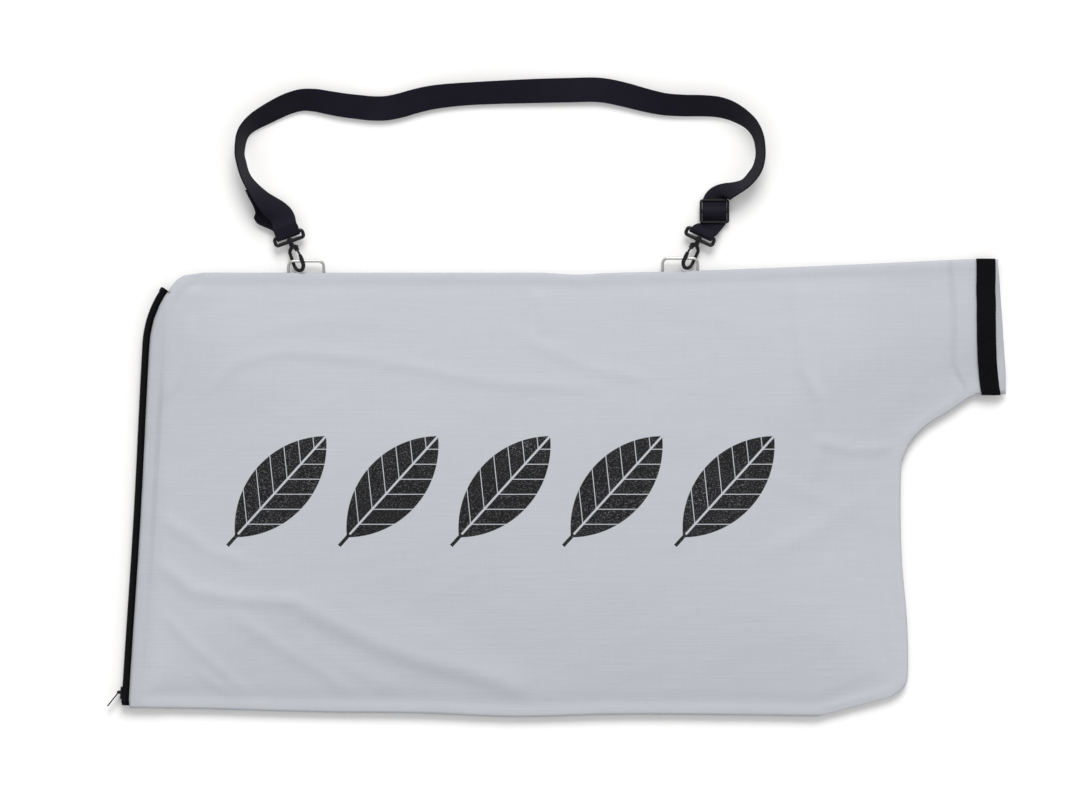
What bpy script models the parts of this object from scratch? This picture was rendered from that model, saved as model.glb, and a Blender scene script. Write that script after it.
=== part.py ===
"""Blower vacuum collection bag, lying flat: a woven bag with a zip, a sleeve with an elastic cuff, and a shoulder
strap whose two snap hooks hang in D rings.

Metres, +Z up. The floor is at z = 0. X runs along the bag to its sleeve, Y runs up to its strap, and the origin is
under the middle of the bag.
"""

import math

import bmesh
import bpy
from mathutils import Matrix, Vector

# The cloth
BODY_LENGTH = 0.805
BODY_WIDTH = 0.460
CLOTH = 0.001
GAP = 0.0003
LOFT = 0.030
FRONT_BORDER = 0.008
BACK_BORDER = 0.010
RING_BORDER = 0.020
DOME_REACH = 0.222
BACK_RISE = 0.035
SEAM_HEIGHT = 0.00855
BOTTOM_SLANT = 0.011
TOP_RISE = 0.013
CORNER_CUT_LENGTH = 0.092
CORNER_CUT_HEIGHT = 0.040

# The sleeve
SLEEVE_REACH = 0.0915
SLEEVE_WIDTH = 0.137
SLEEVE_BEND = 0.083
BACK_PEEK = 0.0095
CUFF_WIDTH = 0.020
CUFF_THICKNESS = 0.0012
CUFF_SETBACK = 0.0175
CUFF_EASE = 0.0013
SLEEVE_LIFT = 0.0022

# The zip
ZIP_BAND = 0.0068
ZIP_LEAN = 0.058
ZIP_STRAIGHT = 0.372
ZIP_CORNER_RADIUS = 0.112
ZIP_CORNER_TURN = 0.56
ZIP_LIFT = 0.0016
TAPE = 0.0007
TAPE_REACH = 0.018
TAPE_SPREAD = 0.001
TOOTH_PITCH = 0.0050
CHAIN_HALF_HEIGHT = 0.0026
CHAIN_HALF_THICKNESS = 0.001
TOOTH_DEPTH = 0.0006
SLIDER_LENGTH = 0.013
SLIDER_WALL = 0.0012
SLIDER_HALF_HEIGHT = 0.0042
SLIDER_LIP = 0.0011
TAPE_SLOT = 0.0007
POST_RADIUS = 0.0012
POST_SETBACK = 0.0026
CHAIN_START = 0.0045
STOP_LENGTH = 0.003
TAB_LENGTH = 0.019
TAB_HEIGHT = 0.005
TAB_THICKNESS = 0.0012
TAB_ANGLE = math.radians(35)
KNUCKLE_RADIUS = 0.0017
TAB_PIN_RADIUS = 0.0006

# The strap
WEBBING_WIDTH = 0.025
WEBBING = 0.0016
FLOOR_GAP = 0.0006
DOUBLED_LENGTH = 0.062
PLY_SPREAD = 0.004

# The strap's hardware
HOOK_LENGTH = 0.034
HOOK_HALF = 0.0065
HOOK_WIRE = 0.00175
NOSE_SWELL = 1.25
NOSE_TIP = 0.0165
HOOK_ROLL = math.radians(42)
HOOK_HEIGHT = 0.0098
GATE_PIVOT_ACROSS = 0.0042
GATE_PIVOT_ALONG = 0.0075
GATE_WIRE = 0.0011
GATE_CHEEK = 0.0011
GATE_EAR_RADIUS = 0.0019
LUG_THICKNESS = 0.0018
LUG_RADIUS = 0.0026
PIN_RADIUS = 0.0007
BORE_CLEARANCE = 0.0003
STEM_RADIUS = 0.0016
STEM_HEAD_RADIUS = 0.0026
STEM_HEAD = 0.0011
BOSS_RADIUS = 0.0036
BOSS_LENGTH = 0.004
EYE_WIRE = 0.0019
EYE_CLEARANCE = 0.0004
EYE_CORNER = 0.0024
RING_WIRE = 0.0015
RING_WIDTH = 0.040
RING_DEPTH = 0.018
RING_CORNER = 0.0055
RING_FOOT_CORNER = 0.0016
RING_REST_HEIGHT = 0.0036
TAB_WEBBING = 0.0012
TAB_WEBBING_WIDTH = 0.032
TAB_WEBBING_LENGTH = 0.016
SLIDE_WIRE = 0.0012
SLIDE_SPACING = 0.0115
SLIDE_CORNER = 0.0018
SLIDE_HEIGHT = 0.0066

# Where the hardware lies
RING_LEFT_PLACE = -0.2232
RING_RIGHT_PLACE = 0.1673
RING_LEFT_STAND = 0.0127
RING_RIGHT_STAND = 0.0143
HOOK_FROM_RING_LEFT = Vector((-0.0164, 0.0205))
HOOK_FROM_RING_RIGHT = Vector((0.0190, 0.0193))
SLIDE_FROM_HOOK = Vector((0.0167, 0.0298))
TILT_LEFT = math.radians(20)
TILT_RIGHT = math.radians(-25)

LEFT = -BODY_LENGTH / 2
RIGHT = BODY_LENGTH / 2
TOP = BODY_WIDTH / 2 - 0.0015
BOTTOM = -BODY_WIDTH / 2 + 0.0015
EYE_SPACING = BOSS_LENGTH / 2 + STEM_HEAD + EYE_CLEARANCE + WEBBING + 2 * GAP + EYE_WIRE
FRONT_SEAM = SEAM_HEIGHT + (GAP + CLOTH) / 2
BACK_SEAM = SEAM_HEIGHT - (GAP + CLOTH) / 2
ZIP_FOOT = Vector((LEFT - 0.0122, BOTTOM + 0.0125))


for old in list(bpy.data.objects):
    bpy.data.objects.remove(old)

bag = bpy.data.collections.new("blower_vacuum_collection_bag")
cutters = bpy.data.collections.new("cutters")
for collection in (bag, cutters):
    bpy.context.scene.collection.children.link(collection)


def material(name, colour, roughness, metallic=0.0):
    """A plain Principled material."""
    new = bpy.data.materials.new(name)
    new.use_nodes = True
    shader = new.node_tree.nodes["Principled BSDF"]
    shader.inputs["Base Color"].default_value = (*colour, 1)
    shader.inputs["Roughness"].default_value = roughness
    shader.inputs["Metallic"].default_value = metallic
    new.diffuse_color = (*colour, 1)
    return new


GREY_CLOTH = material("grey_cloth", (0.53, 0.56, 0.60), 0.85)
BLACK_CLOTH = material("black_cloth", (0.012, 0.011, 0.016), 0.8)
BLACK_PLASTIC = material("black_plastic", (0.012, 0.012, 0.014), 0.4)
BLACK_METAL = material("black_metal", (0.03, 0.03, 0.035), 0.3, 0.9)
NICKEL = material("nickel", (0.75, 0.75, 0.74), 0.25, 1.0)


def clamp(value):
    return min(1.0, max(0.0, value))


def smooth(value):
    """0 to 1 with flat ends."""
    value = clamp(value)
    return value * value * (3 - 2 * value)


def spline(points, steps):
    """A smooth curve through points of any size, with so many steps between two of them."""
    padded = [points[0], *points, points[-1]]
    result = []
    for a, b, c, d in zip(padded, padded[1:], padded[2:], padded[3:]):
        for step in range(steps):
            t = step / steps
            result.append(tuple(
                0.5 * (2 * q + (r - p) * t + (2 * p - 5 * q + 4 * r - s) * t ** 2 + (3 * q - p - 3 * r + s) * t ** 3)
                for p, q, r, s in zip(a, b, c, d)
            ))
    result.append(tuple(points[-1]))
    return result


def table(pairs, value):
    """Straight lines between (place, height) pairs."""
    if value <= pairs[0][0]:
        return pairs[0][1]
    for (a, low), (b, high) in zip(pairs, pairs[1:]):
        if value <= b:
            return low + (high - low) * (value - a) / (b - a)
    return pairs[-1][1]


def place(obj, mat, collection=bag):
    obj.data.materials.clear()
    obj.data.materials.append(mat)
    collection.objects.link(obj)
    return obj


def mesh_object(name, points, faces, mat, collection=bag):
    mesh = bpy.data.meshes.new(name)
    mesh.from_pydata([tuple(p) for p in points], [], faces)
    mesh.update()
    return place(bpy.data.objects.new(name, mesh), mat, collection)


def loft(name, rings, mat, closed=False, collection=bag):
    """A closed body through rings of points; the ends are capped, or the last ring joins the first."""
    size = len(rings[0])
    points = [p for ring in rings for p in ring]
    spans = len(rings) if closed else len(rings) - 1
    faces = []
    for i in range(spans):
        low, high = i * size, (i + 1) % len(rings) * size
        for j in range(size):
            k = (j + 1) % size
            faces.append((low + j, low + k, high + k, high + j))
    if not closed:
        faces.append(tuple(reversed(range(size))))
        faces.append(tuple(range((len(rings) - 1) * size, len(rings) * size)))
    return mesh_object(name, points, faces, mat, collection)


def wire(name, points, radius, mat, closed=False, swell=None, resolution=2, collection=bag):
    """A round wire through points, as a mesh. swell is the share of the radius at each point."""
    curve = bpy.data.curves.new(name, "CURVE")
    curve.dimensions = "3D"
    curve.bevel_depth = radius
    curve.bevel_resolution = resolution
    curve.use_fill_caps = True
    path = curve.splines.new("POLY")
    path.points.add(len(points) - 1)
    for i, point in enumerate(points):
        path.points[i].co = (*point, 1)
        path.points[i].radius = swell[i] if swell else 1
    path.use_cyclic_u = closed
    obj = bpy.data.objects.new(name + "_wire", curve)
    bpy.context.scene.collection.objects.link(obj)
    graph = bpy.context.evaluated_depsgraph_get()
    mesh = bpy.data.meshes.new_from_object(obj.evaluated_get(graph))
    bpy.data.objects.remove(obj)
    weld(mesh)
    mesh.name = name
    return place(bpy.data.objects.new(name, mesh), mat, collection)


def weld(mesh):
    work = bmesh.new()
    work.from_mesh(mesh)
    bmesh.ops.remove_doubles(work, verts=work.verts, dist=0.00001)
    bmesh.ops.recalc_face_normals(work, faces=work.faces)
    work.to_mesh(mesh)
    work.free()


def matrix_along(start, end):
    """A frame at the middle of a line, its Z along the line."""
    way = Vector(end) - Vector(start)
    return Matrix.Translation((Vector(start) + Vector(end)) / 2) @ way.to_track_quat("Z", "Y").to_matrix().to_4x4()


def rod(name, start, end, radius, mat=BLACK_METAL, sides=16, collection=cutters):
    """A straight round bar from start to end."""
    bpy.ops.mesh.primitive_cylinder_add(vertices=sides, radius=radius, depth=(Vector(end) - Vector(start)).length)
    return adopt(name, matrix_along(start, end), mat, collection)


def block(name, size, frame, mat=BLACK_METAL, collection=cutters):
    """A box of that size, centred in a frame."""
    bpy.ops.mesh.primitive_cube_add(size=1)
    bpy.context.object.data.transform(Matrix.Diagonal((*size, 1)))
    return adopt(name, frame, mat, collection)


def adopt(name, frame, mat, collection):
    """Names the new primitive, moves its mesh into a frame and puts it in its collection."""
    obj = bpy.context.object
    for held in list(obj.users_collection):
        held.objects.unlink(obj)
    obj.name = obj.data.name = name
    obj.data.transform(frame)
    if frame.determinant() < 0:
        obj.data.flip_normals()
    return place(obj, mat, collection)


def join(obj, others, operation="UNION"):
    """Adds others to obj, or cuts them from it, and hides them."""
    for i, other in enumerate(others):
        change = obj.modifiers.new(f"{operation.lower()}_{i}", "BOOLEAN")
        change.solver = "EXACT"
        change.operation = operation
        change.object = other
        other.hide_render = True
        other.display_type = "WIRE"
    return obj


def ribbon(name, stations, width, thickness, mat):
    """A flat band through stations of (centre, way across, normal)."""
    rings = []
    for centre, across, normal in stations:
        w, n = across * width / 2, normal * thickness / 2
        rings.append((centre - w - n, centre + w - n, centre + w + n, centre - w + n))
    return loft(name, rings, mat)


def frames(points, across):
    """Stations for a ribbon from its centres and its ways across."""
    stations = []
    for i, point in enumerate(points):
        way = points[min(i + 1, len(points) - 1)] - points[max(i - 1, 0)]
        side = across[i].normalized()
        stations.append((point, side, way.cross(side).normalized()))
    return stations


# The outline of the bag, the same for both panels

def bottom_edge(x):
    return BOTTOM - BOTTOM_SLANT * x / BODY_LENGTH


def top_edge(x):
    return TOP + TOP_RISE * clamp((x - RIGHT / 4) / RIGHT) ** 1.3


RING_LEFT = Vector((RING_LEFT_PLACE, top_edge(RING_LEFT_PLACE) + RING_LEFT_STAND))
RING_RIGHT = Vector((RING_RIGHT_PLACE, top_edge(RING_RIGHT_PLACE) + RING_RIGHT_STAND))
HOOK_LEFT = RING_LEFT + HOOK_FROM_RING_LEFT
HOOK_RIGHT = RING_RIGHT + HOOK_FROM_RING_RIGHT
SLIDE_PLACE = HOOK_RIGHT + SLIDE_FROM_HOOK


def zip_path(along):
    """The middle of the zip in plan: a straight line, then an arc round the top corner. Returns place and way."""
    if along <= ZIP_STRAIGHT:
        way = Vector((math.sin(ZIP_LEAN), math.cos(ZIP_LEAN)))
        return ZIP_FOOT + way * along, way
    place_, way = zip_path(ZIP_STRAIGHT)
    turn = (along - ZIP_STRAIGHT) / ZIP_CORNER_RADIUS
    inward = Vector((way.y, -way.x))
    centre = place_ + inward * ZIP_CORNER_RADIUS
    arm = Matrix.Rotation(-turn, 2) @ (-inward * ZIP_CORNER_RADIUS)
    return centre + arm, Matrix.Rotation(-turn, 2) @ way


ZIP_LENGTH = ZIP_STRAIGHT + ZIP_CORNER_RADIUS * ZIP_CORNER_TURN


def cloth_edge(along):
    """The cloth's left edge, inside the zip."""
    spot, way = zip_path(along)
    return spot + Vector((way.y, -way.x)) * ZIP_BAND


def left_edge():
    """The left edge from bottom to top: beside the zip, then round the top corner."""
    corner = [cloth_edge(0) + Vector((0.001, -0.011))]
    beside = [cloth_edge(ZIP_LENGTH * i / 12) for i in range(13)]
    end, top = beside[-1], Vector((LEFT + 0.071, top_edge(LEFT + 0.071)))
    middle = Vector((end.x * 0.62 + top.x * 0.38, end.y * 0.22 + top.y * 0.78))
    return corner + beside + [middle, top]


def right_edge(mouth):
    """The right edge from bottom to top: cut corner, side, the sleeve's underside, and its mouth."""
    low = bottom_edge(RIGHT - CORNER_CUT_LENGTH)
    sleeve_low = top_edge(RIGHT + mouth) - SLEEVE_WIDTH
    bend = sleeve_low - SLEEVE_BEND
    tip = RIGHT + mouth
    return [Vector(p) for p in (
        (RIGHT - CORNER_CUT_LENGTH, low),
        (RIGHT - CORNER_CUT_LENGTH * 0.16, low + CORNER_CUT_HEIGHT * 0.52),
        (RIGHT - 0.0005, low + CORNER_CUT_HEIGHT * 0.80),
        (RIGHT + 0.0025, low + CORNER_CUT_HEIGHT * 1.35),
        (RIGHT + 0.0010, low + CORNER_CUT_HEIGHT * 2.6),
        (RIGHT - 0.0045, low + CORNER_CUT_HEIGHT * 4.3),
        (RIGHT - 0.0050, bend),
        (RIGHT - 0.0020, bend + SLEEVE_BEND * 0.26),
        (RIGHT + 0.0050, bend + SLEEVE_BEND * 0.44),
        (RIGHT + 0.0195, bend + SLEEVE_BEND * 0.62),
        (RIGHT + 0.0430, bend + SLEEVE_BEND * 0.77),
        (RIGHT + 0.0650, bend + SLEEVE_BEND * 0.95),
        (RIGHT + 0.0740, bend + SLEEVE_BEND * 0.995),
        (tip, sleeve_low + 0.0005),
        (tip, top_edge(tip)),
    )]


def share(point):
    """How far up the bag a point is, from 0 at the bottom edge to 1 at the top edge."""
    low, high = bottom_edge(point.x), top_edge(point.x)
    return (point.y - low) / (high - low)


def level_y(x, level):
    """The place across the bag at a share of the way up it."""
    return bottom_edge(x) * (1 - level) + top_edge(x) * level


def spread(count, fixed):
    """Rows from 0 to 1 that pass through the fixed ones, with about count of them."""
    rows = sorted({round(f, 5) for f in fixed if 0 < f < 1} | {0.0, 1.0})
    result = [rows[0]]
    for a, b in zip(rows, rows[1:]):
        extra = max(1, round((b - a) * count))
        result += [a + (b - a) * i / extra for i in range(1, extra + 1)]
    return result


def distance_to(point, line):
    """The least distance from a point to a line of points."""
    best = 1.0
    for a, b in zip(line, line[1:]):
        way = b - a
        t = clamp((point - a).dot(way) / way.length_squared)
        best = min(best, (point - a - way * t).length)
    return best


FRONT_REACH = SLEEVE_REACH
BACK_REACH = SLEEVE_REACH + BACK_PEEK
SEAM_LEFT = left_edge()
SEAM_RIGHT = right_edge(BACK_REACH)[:-1]
SEAM_TOP = [Vector((SEAM_LEFT[-1].x + (RIGHT + BACK_REACH - SEAM_LEFT[-1].x) * i / 10, 0)) for i in range(11)]
SEAM_TOP = [Vector((p.x, top_edge(p.x))) for p in SEAM_TOP]
SEAM_BOTTOM = [SEAM_LEFT[0], SEAM_RIGHT[0]]
SEAM = (SEAM_LEFT, SEAM_RIGHT, SEAM_TOP, SEAM_BOTTOM)

# The folds of the front panel: start, end, half width, height
FOLDS = (
    ((-0.376, -0.085), (-0.318, -0.116), 0.016, 0.0035),
    ((-0.250, -0.125), (0.015, -0.212), 0.020, 0.0055),
    ((-0.350, -0.172), (-0.262, -0.222), 0.014, 0.0040),
    ((-0.235, -0.186), (-0.170, -0.218), 0.014, 0.0035),
    ((-0.352, 0.170), (-0.372, 0.098), 0.014, 0.0040),
    ((-0.135, 0.190), (0.055, 0.146), 0.026, 0.0040),
    ((0.120, 0.205), (0.260, 0.165), 0.024, 0.0030),
    ((0.378, 0.010), (0.380, -0.160), 0.012, 0.0030),
    ((0.300, 0.120), (0.395, 0.075), 0.022, 0.0040),
    ((0.425, 0.120), (0.470, 0.118), 0.012, 0.0030),
    ((0.200, -0.205), (0.330, -0.150), 0.022, 0.0035),
)


def fold_height(point):
    """The rise of the cloth's folds at a point: ridges that fade at their ends."""
    rise = 0.0
    for start, end, half, height in FOLDS:
        a, b = Vector(start), Vector(end)
        way = b - a
        t = (point - a).dot(way) / way.length_squared
        off = (point - a - way * clamp(t)).length
        fade = smooth(min(t + 0.15, 1.15 - t) / 0.3)
        rise += height * math.exp(-(off / half) ** 2) * fade
    return rise


def beside_zip(point):
    """1 at the zip, fading to 0 further in."""
    return 1 - smooth((distance_to(point, SEAM_LEFT[:-1]) - 0.014) / 0.03)


def front_height(point):
    """The middle of the front cloth above the floor."""
    inside = min(distance_to(point, line) for line in SEAM)
    t = clamp((inside - FRONT_BORDER) / DOME_REACH)
    dome = LOFT * (1 - (1 - t) ** 2) * smooth(t * 8 + 0.3)
    lift = ZIP_LIFT * beside_zip(point)
    return FRONT_SEAM + dome + lift + fold_height(point) * smooth(inside / 0.03)


def back_height(point):
    """The middle of the back cloth above the floor: it lies flat, and rises to the seam."""
    inside = min(distance_to(point, line) for line in SEAM)
    near_rings = smooth((point.y - TOP + 0.09) / 0.03) * (1 - smooth((point.x - RIGHT * 0.75) / 0.06))
    border = BACK_BORDER + RING_BORDER * near_rings
    drop = smooth((inside - border) / BACK_RISE)
    low = CLOTH / 2 + SLEEVE_LIFT * smooth((point.x - RIGHT - 0.02) / 0.04)
    high = BACK_SEAM - ZIP_LIFT * beside_zip(point)
    return high + (low - high) * drop


def side_shares(mouth):
    """Both side edges as (share of the way up, x)."""
    left, right = left_edge(), right_edge(mouth)
    left_shares = [(share(p), p.x) for p in left]
    left_shares[0], left_shares[-1] = (0.0, left[0].x), (1.0, left[-1].x)
    return left_shares, [(share(p), p.x) for p in right]


SLEEVE_ROWS = 9
ROW_SPACE = 0.004


def panel_rows(mouth, count, bands):
    """The rows of a panel's grid: through the outline's corners, its bands, and close together in the sleeve."""
    left_shares, right_shares = side_shares(mouth)
    mouth_low = right_shares[-2][0]
    sleeve = [mouth_low + (1 - mouth_low) * i / SLEEVE_ROWS for i in range(1, SLEEVE_ROWS)]
    fixed = [s for s, _ in right_shares[1:-1]] + [s for s, _ in left_shares[-4:-1]] + bands + sleeve
    return thinned(spread(count, fixed), [right_shares[-2][0], right_shares[-3][0]])


def thinned(levels, kept):
    """The rows without those that lie closer than a few millimetres to the one before."""
    result = [levels[0]]
    for level in levels[1:-1]:
        if any(abs(level - k) < 0.00002 for k in kept):
            if len(result) > 1 and level - result[-1] < ROW_SPACE / BODY_WIDTH and not near(result[-1], kept):
                result.pop()
            result.append(level)
        elif level - result[-1] > ROW_SPACE / BODY_WIDTH and 1 - level > ROW_SPACE / BODY_WIDTH:
            result.append(level)
    return result + [levels[-1]]


def near(level, kept):
    return any(abs(level - k) < 0.00002 for k in kept)


def panel(name, mouth, height, columns, levels):
    """One sheet of the bag: a grid stretched to the outline and raised to its height."""
    left_shares, right_shares = side_shares(mouth)
    bpy.ops.mesh.primitive_grid_add(x_subdivisions=columns, y_subdivisions=len(levels) - 1, size=1)
    sheet = adopt(name, Matrix.Identity(4), GREY_CLOTH, bag)
    for vertex in sheet.data.vertices:
        across = vertex.co.x + 0.5
        row = round((vertex.co.y + 0.5) * (len(levels) - 1))
        level = levels[row]
        x = table(left_shares, level) * (1 - across) + table(right_shares, level) * across
        y = level_y(x, level)
        spot = Vector((x, y))
        vertex.co = (x, y, height(spot))
    shell = sheet.modifiers.new("cloth", "SOLIDIFY")
    shell.thickness = CLOTH
    shell.offset = 0
    return sheet


FRONT_ROWS = panel_rows(FRONT_REACH, 15, [FRONT_BORDER / BODY_WIDTH, 1 - FRONT_BORDER / BODY_WIDTH])
BACK_ROWS = panel_rows(BACK_REACH, 8, [
    BACK_BORDER / BODY_WIDTH, (BACK_BORDER + BACK_RISE) / BODY_WIDTH,
    1 - (BACK_BORDER + RING_BORDER) / BODY_WIDTH, 1 - (BACK_BORDER + RING_BORDER + BACK_RISE) / BODY_WIDTH,
])


def cuff_band():
    """The elastic band round the sleeve's end, with its inner face a gap away from the cloth all round."""
    end = RIGHT + SLEEVE_REACH - CUFF_SETBACK + CUFF_WIDTH
    start = end - CUFF_WIDTH
    stations = [start - CUFF_WIDTH / 2 + CUFF_WIDTH * i / 4 for i in range(7)]
    low = min(p.y for p in right_edge(FRONT_REACH) + right_edge(BACK_REACH) if p.x > start - 0.003) - 2 * GAP
    high = top_edge(RIGHT + BACK_REACH) + 2 * GAP
    middle = (start + end) / 2
    reach = CLOTH / 2 + CUFF_EASE

    def side(levels, height, sign):
        """The contour over or under one panel: its own rows, and straight past its two edges."""
        rows = [level_y(middle, level) for level in levels]
        rows = [low] + [y for y in rows if low + 3 * GAP < y < high - 3 * GAP] + [high]
        pick = max if sign > 0 else min
        around = [(x, shift) for x in stations for shift in (-CUFF_EASE * 2, 0.0, CUFF_EASE * 2)]
        return [Vector((y, pick(height(Vector((x, y + shift))) for x, shift in around) + sign * reach))
                for y in rows]

    inner = side(FRONT_ROWS, front_height, 1)[::-1]
    inner = side(BACK_ROWS, back_height, -1) + inner
    outer = []
    for i, point in enumerate(inner):
        way = (inner[(i + 1) % len(inner)] - inner[i - 1]).normalized()
        outer.append(point + Vector((way.y, -way.x)) * CUFF_THICKNESS)
    rings = []
    for contour, x in ((inner, start), (outer, start), (outer, (start + end) / 2), (outer, end), (inner, end)):
        rings.append([Vector((x, p.x, p.y)) for p in contour])
    band = loft("cuff_band", rings, BLACK_CLOTH, closed=True)
    weld(band.data)
    return band


# The zip, swept along its path. A profile's points are (outward from the path, up from the seam).

def zip_frame(along):
    """The frame at a place on the zip: X outward, Y along it, Z up."""
    spot, way = zip_path(along)
    outward = Vector((-way.y, way.x, 0))
    frame = Matrix((outward, Vector((*way, 0)), Vector((0, 0, 1)))).transposed().to_4x4()
    frame.translation = Vector((*spot, SEAM_HEIGHT))
    return frame


def sweep(name, section, places, mat):
    """A loft along the zip; section(index) gives the ring's (out, up) points there."""
    rings = []
    for i, along in enumerate(places):
        frame = zip_frame(along)
        rings.append([frame @ Vector((out, 0, up)) for out, up in section(i)])
    obj = loft(name, rings, mat)
    weld(obj.data)
    return obj


def zip_tape(name, side):
    """A woven tape: up from the chain, over, and down between the two panels."""
    middle = (
        (0, CHAIN_HALF_HEIGHT + GAP), (0, 0.0046), (-0.0007, 0.0056), (-0.0020, 0.0058), (-0.0034, 0.0048),
        (-0.0044, 0.0028), (-0.0053, 0.0015), (-0.0065, TAPE_SPREAD), (-TAPE_REACH, TAPE_SPREAD),
    )
    line = [Vector((x, y * side)) for x, y in middle]
    one, other = [], []
    for i, point in enumerate(line):
        way = (line[min(i + 1, len(line) - 1)] - line[max(i - 1, 0)]).normalized()
        across = Vector((way.y, -way.x)) * TAPE / 2
        one.append(point + across)
        other.append(point - across)
    ring = [tuple(p) for p in one + other[::-1]]
    straight = [i * ZIP_STRAIGHT / 4 - 0.006 * (i == 0) for i in range(5)]
    bend = [ZIP_STRAIGHT + (ZIP_LENGTH - ZIP_STRAIGHT) * i / 6 for i in range(1, 7)]
    return sweep(name, lambda i: ring, straight + bend, BLACK_CLOTH)


def zip_chain():
    """The meshed teeth: a strip whose height and thickness step in and out at each tooth."""
    count = int((ZIP_LENGTH - CHAIN_START - 0.006) / TOOTH_PITCH)
    places = []
    for i in range(count):
        start = CHAIN_START + i * TOOTH_PITCH
        places += [start, start + TOOTH_PITCH * 0.55]

    def section(i):
        shrink = TOOTH_DEPTH if i % 2 else 0
        up, out = CHAIN_HALF_HEIGHT - shrink, CHAIN_HALF_THICKNESS - shrink / 2
        return (-out, -up), (out, -up), (out, up), (-out, up)

    return sweep("zip_chain", section, places, BLACK_PLASTIC)


def zip_stops():
    """The two clamped blocks at the closed end, and the box at the other end."""
    for name, side in (("zip_stop_front", 1), ("zip_stop_back", -1)):
        frame = zip_frame(-STOP_LENGTH / 2 - 0.0006) @ Matrix.Translation((0, 0, side * CHAIN_HALF_HEIGHT * 0.58))
        stop = block(name, (0.0022, STOP_LENGTH, CHAIN_HALF_HEIGHT * 0.75), frame, BLACK_PLASTIC, bag)
        rounded(stop, 0.0003)
    frame = zip_frame(ZIP_LENGTH - 0.0030)
    box = block("zip_box", (0.0030, 0.0050, CHAIN_HALF_HEIGHT * 1.9), frame, BLACK_PLASTIC, bag)
    rounded(box, 0.0005)


def rounded(obj, width, segments=2):
    bevel = obj.modifiers.new("edges", "BEVEL")
    bevel.width = width
    bevel.segments = segments
    bevel.limit_method = "ANGLE"


def pin_place():
    """The pull tab's hinge, outside the slider's outer plate."""
    out = CHAIN_HALF_THICKNESS + GAP + SLIDER_WALL + GAP + KNUCKLE_RADIUS
    return zip_frame(0) @ Vector((out, SLIDER_LENGTH * 0.55, 0))


def zip_slider():
    """Two plates with lips that leave a slot for each tape, joined by a post ahead of the teeth."""
    inner = CHAIN_HALF_THICKNESS + GAP
    outer = inner + SLIDER_WALL
    frame = zip_frame(0) @ Matrix.Translation((0, SLIDER_LENGTH / 2, 0))
    plates = []
    for side in (1, -1):
        tall, lip = SLIDER_HALF_HEIGHT, SLIDER_LIP
        profile = (
            (outer, -tall), (outer, tall), (TAPE_SLOT, tall), (TAPE_SLOT, tall - lip),
            (inner, tall - lip), (inner, -tall + lip), (TAPE_SLOT, -tall + lip), (TAPE_SLOT, -tall),
        )
        rings = []
        for along in (-SLIDER_LENGTH / 2, SLIDER_LENGTH / 2):
            rings.append([frame @ Vector((side * out, along, up)) for out, up in profile])
        plates.append(loft(f"zip_slider_plate_{side}", rings, BLACK_METAL, collection=cutters))
        weld(plates[-1].data)
    plates[0].name = "zip_slider"
    cutters.objects.unlink(plates[0])
    bag.objects.link(plates[0])
    start = zip_frame(0) @ Vector((-inner - SLIDER_WALL / 2, POST_SETBACK, 0))
    end = zip_frame(0) @ Vector((inner + SLIDER_WALL / 2, POST_SETBACK, 0))
    post = rod("zip_slider_post", start, end, POST_RADIUS)
    pin = pin_place()
    half = TAB_HEIGHT / 2 + GAP
    rise = Vector((0, 0, half + 0.0006))
    bail = rod("zip_slider_pin", pin - rise, pin + rise, TAB_PIN_RADIUS)
    ears = []
    for side in (1, -1):
        local = Matrix.Translation((outer + KNUCKLE_RADIUS * 0.55, SLIDER_LENGTH * 0.05, side * (half + 0.0005)))
        size = (KNUCKLE_RADIUS * 2 + 0.0004, 0.0032, 0.0010)
        ears.append(block(f"zip_slider_ear_{side}", size, frame @ local))
    return join(plates[0], [plates[1], post, *ears, bail])


def zip_pull_tab():
    """A flat tab with a knuckle that turns on the slider's pin."""
    pin = pin_place()
    top = Vector((0, 0, TAB_HEIGHT / 2))
    knuckle = rod("zip_pull_tab", pin - top, pin + top, KNUCKLE_RADIUS, collection=bag)
    down = -zip_frame(0).col[1].to_3d()
    outward = zip_frame(0).col[0].to_3d()
    away = (down * math.cos(TAB_ANGLE) + outward * math.sin(TAB_ANGLE)).normalized()
    side = Vector((0, 0, 1)).cross(away)
    plate_frame = Matrix((away, side, Vector((0, 0, 1)))).transposed().to_4x4()
    plate_frame.translation = pin + away * (TAB_LENGTH / 2 + KNUCKLE_RADIUS * 0.3)
    plate = block("zip_pull_tab_plate", (TAB_LENGTH - KNUCKLE_RADIUS, TAB_THICKNESS, TAB_HEIGHT), plate_frame)
    rounded(plate, 0.0003, 1)
    hole = rod("zip_pull_tab_bore", pin - top * 2, pin + top * 2, TAB_PIN_RADIUS + BORE_CLEARANCE)
    grip = plate_frame @ Matrix.Translation((TAB_LENGTH * 0.32, 0, 0))
    window = block("zip_pull_tab_window", (0.0035, 0.004, 0.0022), grip)
    join(knuckle, [plate])
    return join(knuckle, [hole, window], "DIFFERENCE")


# The strap's hardware. A hook's frame has X across its loop, Y from the eye to its end, and Z across both.

def hook_frame(spot, tilt, roll):
    along = Vector((math.sin(tilt), -math.cos(tilt), 0))
    side = Vector((0, 0, 1)).cross(along)
    across = side * math.cos(roll) + Vector((0, 0, 1)) * math.sin(roll)
    frame = Matrix((across, along, across.cross(along))).transposed().to_4x4()
    frame.translation = Vector((*spot, HOOK_HEIGHT))
    return frame


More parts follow.
